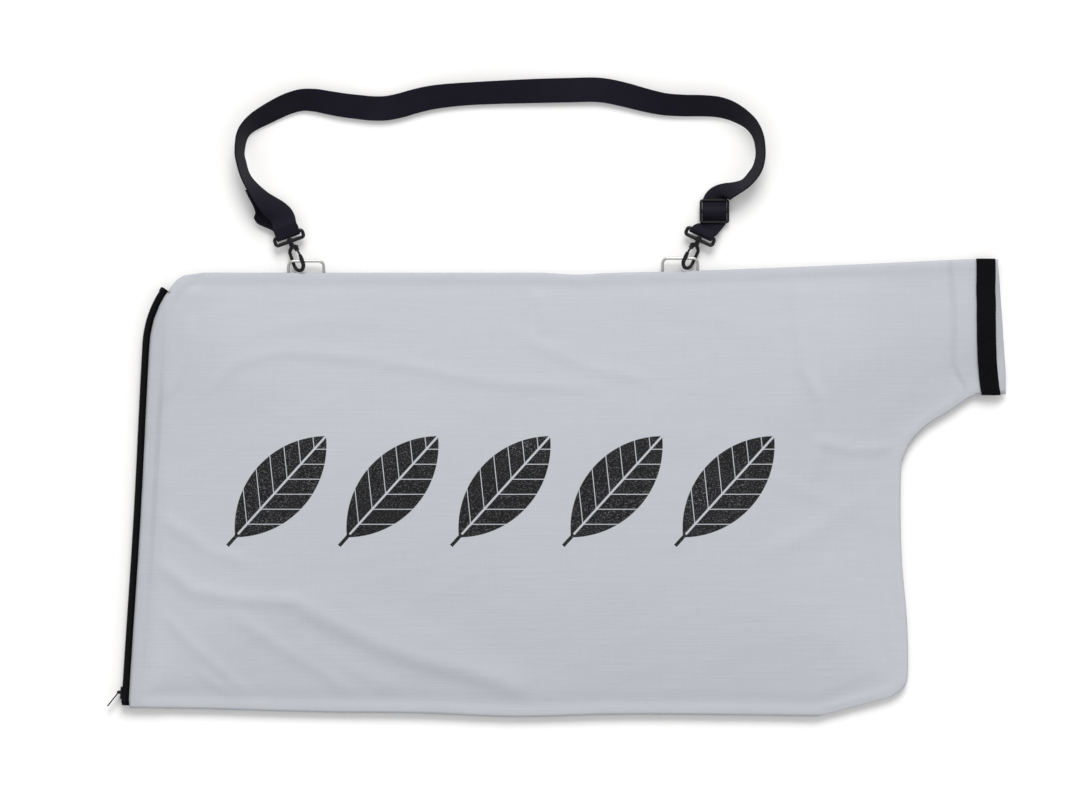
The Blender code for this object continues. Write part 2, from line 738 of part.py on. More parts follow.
def hook_body(name, frame):
    """A cast hook: a stem with a head in the eye, a spine, a round end and a swollen nose, with a lug for the gate."""
    bend = HOOK_LENGTH - HOOK_WIRE - HOOK_HALF
    points = [(0, 0.0042), (0, 0.0052), (-0.0016, 0.0068), (-0.0046, 0.0086), (-HOOK_HALF, 0.0112)]
    points += [(-HOOK_HALF, (0.0112 + bend) / 2)]
    points += [(-HOOK_HALF * math.cos(math.pi * i / 8), bend + HOOK_HALF * math.sin(math.pi * i / 8))
               for i in range(9)]
    points += [(HOOK_HALF, (NOSE_TIP + bend) / 2), (HOOK_HALF, NOSE_TIP)]
    swell = [1.25, 1.25, 1.2, 1.1, 1.0, 1.0] + [1 + (NOSE_SWELL - 1) * i / 8 for i in range(9)]
    swell += [NOSE_SWELL, 1.0]
    world = [frame @ Vector((x, y, 0)) for x, y in points]
    body = wire(name, world, HOOK_WIRE, BLACK_METAL, swell=swell, resolution=2)
    stem_end = frame @ Vector((0, -BOSS_LENGTH / 2 - GAP - STEM_HEAD, 0))
    head_start = frame @ Vector((0, -BOSS_LENGTH / 2 - GAP, 0))
    stem = rod(name + "_stem", frame @ Vector((0, 0.0045, 0)), (head_start + stem_end) / 2, STEM_RADIUS)
    head = rod(name + "_head", head_start, stem_end, STEM_HEAD_RADIUS)
    lug_low = frame @ Vector((GATE_PIVOT_ACROSS, GATE_PIVOT_ALONG, -LUG_THICKNESS / 2))
    lug_high = frame @ Vector((GATE_PIVOT_ACROSS, GATE_PIVOT_ALONG, LUG_THICKNESS / 2))
    lug = rod(name + "_lug", lug_low, lug_high, LUG_RADIUS)
    web_frame = frame @ Matrix.Translation((GATE_PIVOT_ACROSS / 2 - 0.0006, 0.0064, 0))
    web = block(name + "_web", (GATE_PIVOT_ACROSS + 0.0006, 0.0034, LUG_THICKNESS - 0.0002), web_frame)
    shoulder_start = frame @ Vector((0, BOSS_LENGTH / 2 + GAP, 0))
    shoulder = rod(name + "_shoulder", shoulder_start, frame @ Vector((0, 0.0052, 0)), STEM_HEAD_RADIUS)
    drill = Vector((GATE_PIVOT_ACROSS, GATE_PIVOT_ALONG, 0.006))
    hole = rod(name + "_bore", frame @ drill, frame @ Vector((drill.x, drill.y, -drill.z)), PIN_RADIUS + BORE_CLEARANCE)
    join(body, [stem, head, shoulder, web, lug])
    return join(body, [hole], "DIFFERENCE")


def gate_axes():
    """The gate's pivot and tip, in the hook's frame."""
    pivot = Vector((GATE_PIVOT_ACROSS, GATE_PIVOT_ALONG, 0))
    tip = Vector((HOOK_HALF - 0.0001, NOSE_TIP - 0.0004, 0))
    return pivot, tip


def hook_gate(name, frame):
    """A sprung gate: a thin bar with a slotted end, whose cheeks turn on the rivet on each side of the lug."""
    pivot, tip = gate_axes()
    way = (tip - pivot).normalized()
    reach = LUG_RADIUS + GAP
    gate = rod(name, frame @ (pivot + way * (reach + 0.0003)), frame @ tip, GATE_WIRE, sides=12, collection=bag)
    slot_half = LUG_THICKNESS / 2 + GAP
    half = Vector((0, 0, slot_half + GATE_CHEEK))
    ear = rod(name + "_ear", frame @ (pivot - half), frame @ (pivot + half), GATE_EAR_RADIUS)
    axes = Matrix((way.cross(Vector((0, 0, 1))), way, Vector((0, 0, 1)))).transposed().to_4x4()
    axes.translation = pivot
    length = reach + 0.0014
    neck_place = frame @ axes @ Matrix.Translation((0, length / 2, 0))
    neck = block(name + "_neck", (GATE_WIRE * 2.4, length, half.z * 2 - 0.0002), neck_place)
    slot_start = -GATE_EAR_RADIUS - 0.001
    slot_place = frame @ axes @ Matrix.Translation((0, (slot_start + reach) / 2, 0))
    slot = block(name + "_slot", (0.008, reach - slot_start, slot_half * 2), slot_place)
    drill = Vector((0, 0, 0.006))
    hole = rod(name + "_bore", frame @ (pivot + drill), frame @ (pivot - drill), PIN_RADIUS + BORE_CLEARANCE)
    join(gate, [ear, neck])
    return join(gate, [slot, hole], "DIFFERENCE")


def gate_pin(name, frame):
    """The rivet that the gate turns on, with a head on each side."""
    pivot, _ = gate_axes()
    half = LUG_THICKNESS / 2 + 2 * GAP + GATE_CHEEK
    up = Vector((0, 0, 1))
    pin = rod(name, frame @ (pivot - up * (half + 0.0004)), frame @ (pivot + up * (half + 0.0004)), PIN_RADIUS,
              sides=12, collection=bag)
    heads = []
    for side in (1, -1):
        low, high = pivot + up * side * half, pivot + up * side * (half + 0.0007)
        heads.append(rod(f"{name}_head_{side}", frame @ low, frame @ high, PIN_RADIUS * 2, sides=12))
    return join(pin, heads)


def rounded_loop(width, depth, near, far, steps=4):
    """A closed rectangle in plan, centred on X, from y = 0 to y = depth, with a corner radius at each end."""
    points = []
    corners = ((width / 2, 0, near, -90), (width / 2, depth, far, 0), (-width / 2, depth, far, 90),
               (-width / 2, 0, near, 180))
    for x, y, radius, start in corners:
        centre = Vector((x - math.copysign(radius, x), y - math.copysign(radius, y - depth / 2)))
        for i in range(steps + 1):
            angle = math.radians(start + 90 * i / steps)
            points.append(centre + Vector((math.cos(angle), math.sin(angle))) * radius)
    return points


def swivel_eye(name, spot, tilt):
    """The webbing's eye: a cast rectangular loop with a bored boss that the hook's stem turns in."""
    flat = hook_frame(spot, tilt, 0)
    side = WEBBING_WIDTH + 2 * GAP + 2 * EYE_WIRE + 0.0012
    loop = rounded_loop(side, EYE_SPACING, EYE_CORNER, EYE_CORNER)
    world = [flat @ Vector((p.x, p.y - EYE_SPACING, 0)) for p in loop]
    eye = wire(name, world, EYE_WIRE, BLACK_METAL, closed=True)
    low = flat @ Vector((0, -BOSS_LENGTH / 2, 0))
    high = flat @ Vector((0, BOSS_LENGTH / 2, 0))
    boss = rod(name + "_boss", low, high, BOSS_RADIUS)
    way = (high - low).normalized() * 0.002
    hole = rod(name + "_bore", low - way, high + way, STEM_RADIUS + BORE_CLEARANCE)
    join(eye, [boss])
    return join(eye, [hole], "DIFFERENCE")


def d_ring(name, spot):
    """A bent wire ring: its straight side in the webbing tab, its bow tilted up into the hook."""
    slope = (HOOK_HEIGHT - RING_REST_HEIGHT) / RING_DEPTH
    loop = rounded_loop(RING_WIDTH - 2 * RING_WIRE, RING_DEPTH, RING_FOOT_CORNER, RING_CORNER)
    world = [Vector((spot.x + p.x, spot.y - RING_DEPTH + p.y, RING_REST_HEIGHT + p.y * slope)) for p in loop]
    return wire(name, world, RING_WIRE, NICKEL, closed=True)


def ring_tab(name, spot):
    """A short webbing loop folded round the ring's straight side, under the bag's top seam."""
    bar_y, bar_z = spot.y - RING_DEPTH, RING_REST_HEIGHT
    radius = RING_WIRE + GAP + TAB_WEBBING / 2
    inner = bar_y - TAB_WEBBING_LENGTH
    over = BACK_SEAM - CLOTH / 2 - GAP - TAB_WEBBING / 2
    under = over - TAB_WEBBING - GAP
    line = [(inner, over), (inner * 0.45 + bar_y * 0.55, over), (bar_y - 0.001, min(over, bar_z + radius))]
    line += [(bar_y + radius * math.sin(math.pi * i / 6), bar_z + radius * math.cos(math.pi * i / 6))
             for i in range(7)]
    line += [(bar_y - 0.004, bar_z - radius + 0.0002), (inner * 0.55 + bar_y * 0.45, under - 0.0012), (inner, under)]
    points = [Vector((spot.x, y, z)) for y, z in line]
    return ribbon(name, frames(points, [Vector((1, 0, 0))] * len(points)), TAB_WEBBING_WIDTH, TAB_WEBBING, BLACK_CLOTH)


def slide_adjuster():
    """A three-bar slide: a round-edged frame with a middle bar."""
    side = WEBBING_WIDTH + 4 * GAP + 2 * SLIDE_WIRE
    loop = rounded_loop(side, 2 * SLIDE_SPACING, SLIDE_CORNER, SLIDE_CORNER, 3)
    world = [Vector((SLIDE_PLACE.x + p.x, SLIDE_PLACE.y - SLIDE_SPACING + p.y, SLIDE_HEIGHT)) for p in loop]
    frame = wire("slide_adjuster", world, SLIDE_WIRE, BLACK_PLASTIC, closed=True)
    half = Vector((side / 2, 0, 0))
    centre = Vector((*SLIDE_PLACE, SLIDE_HEIGHT))
    bar = rod("slide_adjuster_bar", centre - half, centre + half, SLIDE_WIRE, sides=12)
    return join(frame, [bar])


# The strap's way over the floor from the left hook to the slide: x, y past the top edge, roll in degrees
STRAP_WAY = (
    (-0.2655, 0.0760, 32), (-0.2832, 0.0975, 61), (-0.2905, 0.1153, 70), (-0.2922, 0.1289, 70),
    (-0.2872, 0.1483, 62), (-0.2668, 0.1643, 43), (-0.2278, 0.1807, 30), (-0.1829, 0.1752, 14),
    (-0.1400, 0.1723, 6), (-0.0941, 0.1831, 15), (-0.0418, 0.1879, 24), (0.0512, 0.1912, 4),
    (0.0920, 0.1902, 6), (0.1505, 0.1764, 28), (0.2059, 0.1735, 36), (0.2336, 0.1617, 54),
    (0.2470, 0.1465, 66), (0.2510, 0.1275, 70), (0.2486, 0.1147, 64), (0.2420, 0.1050, 50),
    (0.2322, 0.0977, 30), (0.2210, 0.0923, 12),
)


def lie_height(roll):
    """How high the webbing's middle is when its lower edge is on the floor."""
    return FLOOR_GAP + WEBBING_WIDTH / 2 * abs(math.sin(roll)) + WEBBING / 2 * math.cos(roll)


def strap():
    """One length of webbing: sewn back on itself round the left eye, laid in a loop, and led through the slide to
    the right eye and back to the slide's middle bar."""
    up = Vector((0, 0, 1))
    ply = WEBBING + GAP
    turn = EYE_WIRE + GAP + WEBBING / 2
    # The left eye's bar, the way from the hook to the strap, and the bar's own direction
    left = hook_frame(HOOK_LEFT, TILT_LEFT, 0)
    away_left = -left.col[1].to_3d()
    bar_left = left @ Vector((0, -EYE_SPACING, 0))
    side_left = up.cross(away_left)
    # The loose run, with its roll turning it on edge at each bend
    first = bar_left + away_left * 0.009 + up * (turn + 0.001)
    second = bar_left + away_left * 0.022 + up * (turn - 0.0010)
    way = [(*first, 0.0), (*second, 0.10)]
    for i, (x, y, degrees) in enumerate(STRAP_WAY):
        roll = math.radians(degrees)
        doubled = 1 - smooth((i - 2) / 2)
        way.append((x, TOP + y, lie_height(roll) + ply * doubled + (0.004 if i == 0 else 0), roll))
    slide = Vector((*SLIDE_PLACE, SLIDE_HEIGHT))
    under = SLIDE_WIRE + GAP + WEBBING / 2
    over = under + ply
    low = SLIDE_HEIGHT - under
    way.append((SLIDE_PLACE.x + 0.0062, SLIDE_PLACE.y + SLIDE_SPACING + 0.0106, low, 0.0))
    way.append((SLIDE_PLACE.x + 0.0010, SLIDE_PLACE.y + SLIDE_SPACING + 0.0036, low, 0.0))
    way.append((SLIDE_PLACE.x, SLIDE_PLACE.y + SLIDE_SPACING, low, 0.0))
    run = spline(way, 3)
    points = [Vector(p[:3]) for p in run]
    sides = []
    for i, p in enumerate(run):
        heading = points[min(i + 1, len(points) - 1)] - points[max(i - 1, 0)]
        heading.z = 0
        flat = up.cross(heading.normalized())
        near_left = 1 - smooth(i / 7)
        near_right = smooth((i - len(run) + 9) / 7)
        flat = (flat * (1 - near_left) + side_left * near_left).normalized()
        flat = (flat * (1 - near_right) + Vector((1, 0, 0)) * near_right).normalized()
        sides.append(flat * math.cos(p[3]) + up * math.sin(p[3]))
    main = frames(points, sides)
    # The sewn end, under the first stretch of the run and back to the left eye
    back, travelled = [], 0.0
    for i, (centre, side, normal) in enumerate(main):
        if i:
            travelled += (points[i] - points[i - 1]).length
        if travelled > DOUBLED_LENGTH:
            break
        t = travelled / DOUBLED_LENGTH
        below = ply + PLY_SPREAD * math.sin(math.pi * t) ** 2 + (2 * turn + 0.001 - ply) * (1 - smooth(t * 3))
        back.append((centre - normal * below, side))
    head = list(reversed(back))
    for i in range(7):
        angle = math.pi * i / 6
        offset = -away_left * math.sin(angle) - up * math.cos(angle)
        head.append((bar_left + offset * turn, side_left))
    # Through the slide, round the right eye and back to the slide's middle bar
    right = hook_frame(HOOK_RIGHT, TILT_RIGHT, 0)
    away_right = -right.col[1].to_3d()
    bar_right = right @ Vector((0, -EYE_SPACING, 0))
    side_right = away_right.cross(up)
    x_axis = Vector((1, 0, 0))
    tail = []
    for y, z in ((0.0078, -under * 0.25), (0.0040, over * 0.68), (0, over), (-0.0040, over * 0.68),
                 (-0.0078, -under * 0.25), (-SLIDE_SPACING, -under)):
        tail.append((slide + Vector((0, y, z)), x_axis))
    foot = slide + Vector((0, -SLIDE_SPACING, 0))
    toward = bar_right - foot
    for t in (0.3, 0.5, 0.7):
        part = smooth((t - 0.2) / 0.5)
        drop = -under * (1 - part) + turn * part
        tail.append((foot + toward * t + up * drop, x_axis.lerp(side_right, part)))
    for i in range(0, 7):
        angle = math.pi * i / 6
        offset = -away_right * math.sin(angle) + up * math.cos(angle)
        tail.append((bar_right + offset * turn, side_right))
    for t in (0.7, 0.4):
        part = smooth(t / 0.7)
        drop = -(under + ply) * (1 - part) - turn * part
        tail.append((foot + toward * t + up * drop, x_axis.lerp(side_right, part)))
    tail.append((foot - up * (under + ply), x_axis))
    tail.append((slide + Vector((0, -0.0060, -under - ply * 0.65)), x_axis))
    for i in range(0, 7):
        angle = math.pi * i / 6
        tail.append((slide + Vector((0, under * math.sin(angle), -under * math.cos(angle))), x_axis))
    joined = head + [(c, s) for c, s, _ in main] + tail
    stations = frames([c for c, _ in joined], [s for _, s in joined])
    obj = ribbon("strap", stations, WEBBING_WIDTH, WEBBING, BLACK_CLOTH)
    weld(obj.data)
    return obj


panel("front_panel", FRONT_REACH, front_height, 32, FRONT_ROWS)
panel("back_panel", BACK_REACH, back_height, 20, BACK_ROWS)
cuff_band()
zip_tape("zip_tape_front", 1)
zip_tape("zip_tape_back", -1)
zip_chain()
zip_stops()
zip_slider()
zip_pull_tab()
for hand, spot, tilt, ring in (
    ("left", HOOK_LEFT, TILT_LEFT, RING_LEFT), ("right", HOOK_RIGHT, TILT_RIGHT, RING_RIGHT),
):
    roll = HOOK_ROLL if hand == "left" else math.pi - HOOK_ROLL
    hook = hook_frame(spot, tilt, roll)
    hook_body(f"hook_body_{hand}", hook)
    hook_gate(f"hook_gate_{hand}", hook)
    gate_pin(f"gate_pin_{hand}", hook)
    swivel_eye(f"swivel_eye_{hand}", spot, tilt)
    d_ring(f"d_ring_{hand}", ring)
    ring_tab(f"ring_tab_{hand}", ring)
slide_adjuster()
strap()
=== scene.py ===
import math

import bmesh
import bpy
import numpy as np
from mathutils import Matrix, Vector, noise


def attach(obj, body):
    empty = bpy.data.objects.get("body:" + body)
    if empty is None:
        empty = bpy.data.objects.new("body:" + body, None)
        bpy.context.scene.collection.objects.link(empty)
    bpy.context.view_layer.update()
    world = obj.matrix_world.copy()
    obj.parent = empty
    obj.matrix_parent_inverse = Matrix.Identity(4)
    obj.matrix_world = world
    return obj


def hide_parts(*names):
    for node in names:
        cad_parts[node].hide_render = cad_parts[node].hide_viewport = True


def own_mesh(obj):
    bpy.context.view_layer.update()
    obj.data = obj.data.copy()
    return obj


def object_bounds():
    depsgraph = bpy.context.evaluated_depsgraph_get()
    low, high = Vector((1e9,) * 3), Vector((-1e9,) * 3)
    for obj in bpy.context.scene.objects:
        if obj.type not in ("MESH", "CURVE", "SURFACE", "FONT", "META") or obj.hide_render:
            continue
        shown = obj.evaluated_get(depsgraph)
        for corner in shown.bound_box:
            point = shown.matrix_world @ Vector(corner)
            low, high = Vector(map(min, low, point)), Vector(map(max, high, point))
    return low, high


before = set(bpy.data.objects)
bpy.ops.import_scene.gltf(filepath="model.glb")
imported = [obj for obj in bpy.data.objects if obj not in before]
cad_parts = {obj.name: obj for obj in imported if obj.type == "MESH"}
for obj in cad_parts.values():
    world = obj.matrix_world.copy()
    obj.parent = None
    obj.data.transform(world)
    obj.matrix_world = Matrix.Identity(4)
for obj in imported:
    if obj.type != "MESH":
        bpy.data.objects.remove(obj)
cad_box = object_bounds()

# The view: straight down on the bag as it lies on a white floor. The camera stands far off behind a long
# lens, so the bag is seen as flat as in the photograph. A soft lamp stands past the strap, and the rest is
# even room light.
VIEW_WIDTH = 1.113
VIEW_CENTRE = Vector((0.0131, 0.0967, 0.0))
CAMERA_HEIGHT = 6.0
SENSOR = 36.0


def placed(name, data):
    """A new object in the scene."""
    new = bpy.data.objects.new(name, data)
    bpy.context.scene.collection.objects.link(new)
    return new


lens = bpy.data.cameras.new("camera")
lens.sensor_width = SENSOR
lens.lens = SENSOR * CAMERA_HEIGHT / VIEW_WIDTH
lens.clip_end = 50.0
camera = placed("camera", lens)
camera.location = VIEW_CENTRE + Vector((0, 0, CAMERA_HEIGHT))
bpy.context.scene.camera = camera
bpy.context.scene.view_settings.view_transform = "Standard"

LAMP_HEIGHT = math.radians(46)
LAMP_SIDE = math.radians(5)
lamp = bpy.data.lights.new("window", "SUN")
lamp.energy = 1.95
lamp.angle = math.radians(34)
lamp.color = (1.0, 0.990, 0.980)
lamp_level = math.cos(LAMP_HEIGHT)
lamp_way = Vector((math.sin(LAMP_SIDE) * lamp_level, math.cos(LAMP_SIDE) * lamp_level, math.sin(LAMP_HEIGHT)))
placed("window", lamp).rotation_euler = lamp_way.to_track_quat("Z", "Y").to_euler()

ROOM_LIGHT = 0.66
room = bpy.data.worlds.new("room")
room.use_nodes = True
bpy.context.scene.world = room


class Value:
    """A number that changes over a surface. Python's operators on it add Math nodes."""

    def __init__(self, nodes, socket):
        self.nodes = nodes
        self.socket = socket

    def __add__(self, other):
        return self.nodes.math("ADD", self, other)

    def __sub__(self, other):
        return self.nodes.math("SUBTRACT", self, other)

    def __rsub__(self, other):
        return self.nodes.math("SUBTRACT", other, self)

    def __mul__(self, other):
        return self.nodes.math("MULTIPLY", self, other)

    def __truediv__(self, other):
        return self.nodes.math("DIVIDE", self, other)

    __radd__ = __add__
    __rmul__ = __mul__


class Nodes:
    """A node tree, and what its nodes are made with."""

    def __init__(self, tree):
        self.tree = tree

    def node(self, kind, settings=None, inputs=None, output=0):
        """Adds a node: first its settings, then the values or links of its sockets. Gives one output."""
        new = self.tree.nodes.new(kind)
        for name, setting in (settings or {}).items():
            setattr(new, name, setting)
        for name, value in (inputs or {}).items():
            self.feed(new.inputs[name], value)
        return Value(self, new.outputs[output])

    def feed(self, socket, value):
        if isinstance(value, Value):
            self.tree.links.new(value.socket, socket)
        else:
            socket.default_value = value

    def math(self, operation, *values):
        return self.node("ShaderNodeMath", {"operation": operation}, dict(enumerate(values)))

    def mix(self, share, one, other, blend="MIX"):
        """Between two colours."""
        return self.node("ShaderNodeMix", {"data_type": "RGBA", "blend_type": blend}, {
            0: share, 6: one, 7: other,
        }, 2)

    def vector(self, x, y, z):
        return self.node("ShaderNodeCombineXYZ", inputs={0: x, 1: y, 2: z})


BY_UV, BY_PLACE = 2, 3


class Finish(Nodes):
    """A material, with the Principled shader's own constants set from the start."""

    def __init__(self, name, sockets):
        self.material = bpy.data.materials.new(name)
        self.material.use_nodes = True
        super().__init__(self.material.node_tree)
        self.shader = self.tree.nodes["Principled BSDF"]
        for socket, value in sockets.items():
            self.set(socket, value)

    def set(self, socket, value):
        self.feed(self.shader.inputs[socket], value)

    def position(self):
        """The place on the piece in metres."""
        return self.node("ShaderNodeTexCoord", output=BY_PLACE)

    def split(self, vector):
        """The three parts of a place."""
        parts = self.node("ShaderNodeSeparateXYZ", inputs={0: vector})
        return [Value(self, parts.socket.node.outputs[i]) for i in range(3)]

    def paint(self, share, dark, light):
        """Colours the surface from dark to light, and gives that colour."""
        colour = self.mix(share, (*dark, 1), (*light, 1))
        self.set("Base Color", colour)
        return colour

    def noise(self, stretch, detail=2.0, rough=0.5, at=None):
        """A random number between 0 and 1 that changes so many times a metre along each axis."""
        mapped = self.node("ShaderNodeMapping", inputs={"Vector": at or self.position(), "Scale": stretch})
        return self.node("ShaderNodeTexNoise", inputs={
            "Vector": mapped, "Scale": 1.0, "Detail": detail, "Roughness": rough,
        })

    def ramp(self, value, low, high, start=0.0, end=1.0):
        """From start to end as the value goes from low to high, and no further."""
        return self.node("ShaderNodeMapRange", {"interpolation_type": "SMOOTHSTEP"}, {
            "Value": value, "From Min": low, "From Max": high, "To Min": start, "To Max": end,
        })

    def bump(self, height, depth, strength=1.0):
        """Raises the surface by the height, from 0 to 1, times a depth in metres."""
        self.set("Normal", self.node("ShaderNodeBump", inputs={
            "Height": height, "Distance": depth, "Strength": strength,
        }))


sky = Nodes(room.node_tree)
shown = sky.node("ShaderNodeLightPath")
background = room.node_tree.nodes["Background"]
background.inputs["Color"].default_value = (1.0, 1.0, 1.0, 1)
sky.feed(background.inputs["Strength"], shown * (1.0 - ROOM_LIGHT) + ROOM_LIGHT)

# The floor: matt white paper. It keeps the bag's soft shadow, and what the camera sees of it is raised to
# white.
FLOOR_SIZE = 12.0
FLOOR_LEVEL = cad_box[0][2] - 0.0004
PAPER = (0.96, 0.957, 0.955, 1)
PAPER_GLOW = 0.03
floor_mesh = bpy.data.meshes.new("floor")
half = FLOOR_SIZE / 2
floor_mesh.from_pydata([(-half, -half, FLOOR_LEVEL), (half, -half, FLOOR_LEVEL), (half, half, FLOOR_LEVEL),
                        (-half, half, FLOOR_LEVEL)], [], [(0, 1, 2, 3)])
floor = placed("floor", floor_mesh)
paper = Finish("paper", {
    "Base Color": PAPER, "Roughness": 0.9, "Specular IOR Level": 0.0, "Emission Color": (1, 1, 1, 1),
})
light_path = seen = paper.node("ShaderNodeLightPath")
for ray in ("Is Glossy Ray", "Is Transmission Ray"):
    seen = paper.math("MAXIMUM", seen, Value(paper, light_path.socket.node.outputs[ray]))
paper.set("Emission Strength", seen * PAPER_GLOW)
floor_mesh.materials.append(paper.material)

# The bag's outline, the same for both panels: two panels of light woven cloth, cut with a sleeve at the upper
# right and sewn inside out along every edge but the left one, which has the zip.
BODY_LENGTH = 0.805
BODY_WIDTH = 0.460
LEFT = -BODY_LENGTH / 2
RIGHT = BODY_LENGTH / 2
TOP = BODY_WIDTH / 2 - 0.0015
BOTTOM = -BODY_WIDTH / 2 + 0.0015
SLEEVE_REACH = 0.0915
SLEEVE_WIDTH = 0.1405
BACK_PEEK = 0.0095
ZIP_FOOT = Vector((LEFT - 0.0122, BOTTOM + 0.0125))
ZIP_LEAN = 0.058
ZIP_STRAIGHT = 0.372
ZIP_CORNER_RADIUS = 0.112
ZIP_BOW = 0.0012
ZIP_CORNER_TURN = 0.56
ZIP_LENGTH = ZIP_STRAIGHT + ZIP_CORNER_RADIUS * ZIP_CORNER_TURN
ZIP_BAND = 0.0068
SEAM_HEIGHT = 0.00855


def smooth(value):
    """0 to 1 with flat ends."""
    value = np.clip(value, 0.0, 1.0)
    return value * value * (3 - 2 * value)


def hump(away, width):
    """1 in the middle, and next to nothing at twice the width away from it."""
    return np.exp(-(away / width) ** 2)


def spline(points, steps):
    """A smooth curve through points, with so many steps between two of them."""
    points = np.array([tuple(p) for p in points])
    padded = np.vstack([points[:1], points, points[-1:]])
    result = []
    for p, q, r, s in zip(padded, padded[1:], padded[2:], padded[3:]):
        for t in np.arange(steps) / steps:
            result.append(0.5 * (2 * q + (r - p) * t + (2 * p - 5 * q + 4 * r - s) * t ** 2
                                 + (3 * q - p - 3 * r + s) * t ** 3))
    return np.array(result + [points[-1]])


def bottom_edge(x):
    """It leans, and sags a little where the cloth is full."""
    sag = 0.0045 * hump(x + 0.008, 0.085) + 0.0022 * hump(x + 0.20, 0.10)
    return BOTTOM - 0.0016 - 0.010 * x / BODY_LENGTH - sag


def top_edge(x):
    """It dips a little to the right of its middle, and climbs towards the sleeve."""
    dip = 0.0020 * hump(x - 0.060, 0.024)
    return TOP + 0.0004 - dip + 0.0156 * (np.clip(x - 0.09, 0, 0.377) / RIGHT) ** 1.35


def zip_path(along):
    """The middle of the zip in plan, straight and then round the top corner: the place and the way on."""
    if along <= ZIP_STRAIGHT:
        way = Vector((math.sin(ZIP_LEAN), math.cos(ZIP_LEAN)))
        bow = ZIP_BOW * math.sin(math.pi * max(along, 0.0) / ZIP_STRAIGHT) ** 2
        return ZIP_FOOT + way * along + Vector((way.y, -way.x)) * bow, way
    corner, way = zip_path(ZIP_STRAIGHT)
    turned = Matrix.Rotation((ZIP_STRAIGHT - along) / ZIP_CORNER_RADIUS, 2)
    inward = Vector((way.y, -way.x)) * ZIP_CORNER_RADIUS
    return corner + inward + turned @ -inward, turned @ way


def left_edge():
    """Beside the zip from bottom to top, then round the top corner."""
    points = []
    for i in range(25):
        spot, way = zip_path(ZIP_LENGTH * i / 24)
        points.append(spot + Vector((way.y, -way.x)) * ZIP_BAND)
    end, top = points[-1], Vector((LEFT + 0.071, top_edge(LEFT + 0.071)))
    middle = Vector((end.x * 0.62 + top.x * 0.38, end.y * 0.22 + top.y * 0.78))
    round_corner = spline([points[-2], end, middle, top], 5)
    return np.array([tuple(points[0] + Vector((0.001, -0.011)))] + [tuple(p) for p in points[:-2]]
                    + [tuple(p) for p in round_corner])


def right_edge(mouth):
    """The cut corner, the side, the curve under the sleeve, and the sleeve's mouth."""
    cut_length, cut_height, bend_height = 0.092, 0.040, 0.083
    low = bottom_edge(RIGHT - cut_length)
    sleeve_low = top_edge(RIGHT + mouth) - SLEEVE_WIDTH
    bend = sleeve_low - bend_height
    curve = spline([
        (RIGHT - cut_length * 0.16, low + cut_height * 0.52), (RIGHT - 0.0005, low + cut_height * 0.80),
        (RIGHT + 0.0025, low + cut_height * 1.35), (RIGHT + 0.0010, low + cut_height * 2.6),
        (RIGHT - 0.0045, low + cut_height * 4.3), (RIGHT - 0.0050, bend),
        (RIGHT - 0.0002, bend + bend_height * 0.26), (RIGHT + 0.0080, bend + bend_height * 0.44),
        (RIGHT + 0.0235, bend + bend_height * 0.62), (RIGHT + 0.0465, bend + bend_height * 0.79),
        (RIGHT + 0.0670, bend + bend_height * 0.96), (RIGHT + 0.0740, bend + bend_height * 0.995),
    ], 5)
    tip = RIGHT + mouth
    return np.vstack([[(RIGHT - cut_length, low)], curve, [(tip, sleeve_low + 0.0005), (tip, top_edge(tip))]])


def share(points):
    """How far up the bag each point is, from 0 at the bottom edge to 1 at the top edge."""
    low, high = bottom_edge(points[:, 0]), top_edge(points[:, 0])
    return (points[:, 1] - low) / (high - low)


def distance(x, y, line):
    """The least distance from each place to a line, and how far along the line that is, from 0 to 1."""
    best, along = np.full(x.shape, 1.0), np.zeros(x.shape)
    lengths = np.hypot(*np.diff(line, axis=0).T)
    for i, (a, b) in enumerate(zip(line, line[1:])):
        way = b - a
        t = ((x - a[0]) * way[0] + (y - a[1]) * way[1]) / max(lengths[i] ** 2, 1e-12)
        low = -np.inf if i == 0 and len(line) < 9 else 0.0
        high = np.inf if i == len(lengths) - 1 and len(line) < 9 else 1.0
        held = np.clip(t, 0, 1)
        off = np.hypot(x - a[0] - way[0] * held, y - a[1] - way[1] * held)
        nearer = off < best
        best = np.where(nearer, off, best)
        reached = lengths[:i].sum() + np.clip(t, low, high) * lengths[i]
        along = np.where(nearer, reached / lengths.sum(), along)
    return best, along


EDGE_STEP = 0.004
SEAM_LEFT = left_edge()
SEAM_RIGHT = right_edge(SLEEVE_REACH + BACK_PEEK)[:-1]
MOUTH = RIGHT + SLEEVE_REACH + BACK_PEEK
SEAM_TOP = np.array([(x, top_edge(x)) for x in np.linspace(SEAM_LEFT[-1][0], MOUTH, 20)])
SEAM_BOTTOM = np.array([(x, bottom_edge(x)) for x in np.linspace(SEAM_LEFT[0][0], SEAM_RIGHT[0][0], 20)])
SEAMS = (SEAM_LEFT, SEAM_RIGHT, SEAM_TOP, SEAM_BOTTOM)


def seam_distance(x, y):
    return np.minimum.reduce([distance(x, y, line)[0] for line in SEAMS])


def soft_distance(x, y):
    """Like the distance from the seams, but smooth where two of them are equally near."""
    spots = []
    for line in SEAMS:
        for a, b in zip(line, line[1:]):
            length = np.hypot(*(b - a))
            steps = max(1, round(length / EDGE_STEP))
            for t in (np.arange(steps) + 0.5) / steps:
                spots.append((*(a + (b - a) * t), length / steps))
    total = np.zeros(x.shape)
    for spot_x, spot_y, length in spots:
        total += length / ((x - spot_x) ** 2 + (y - spot_y) ** 2 + EDGE_STEP ** 2) ** 3
    return (total * 8 / (3 * math.pi)) ** -0.2


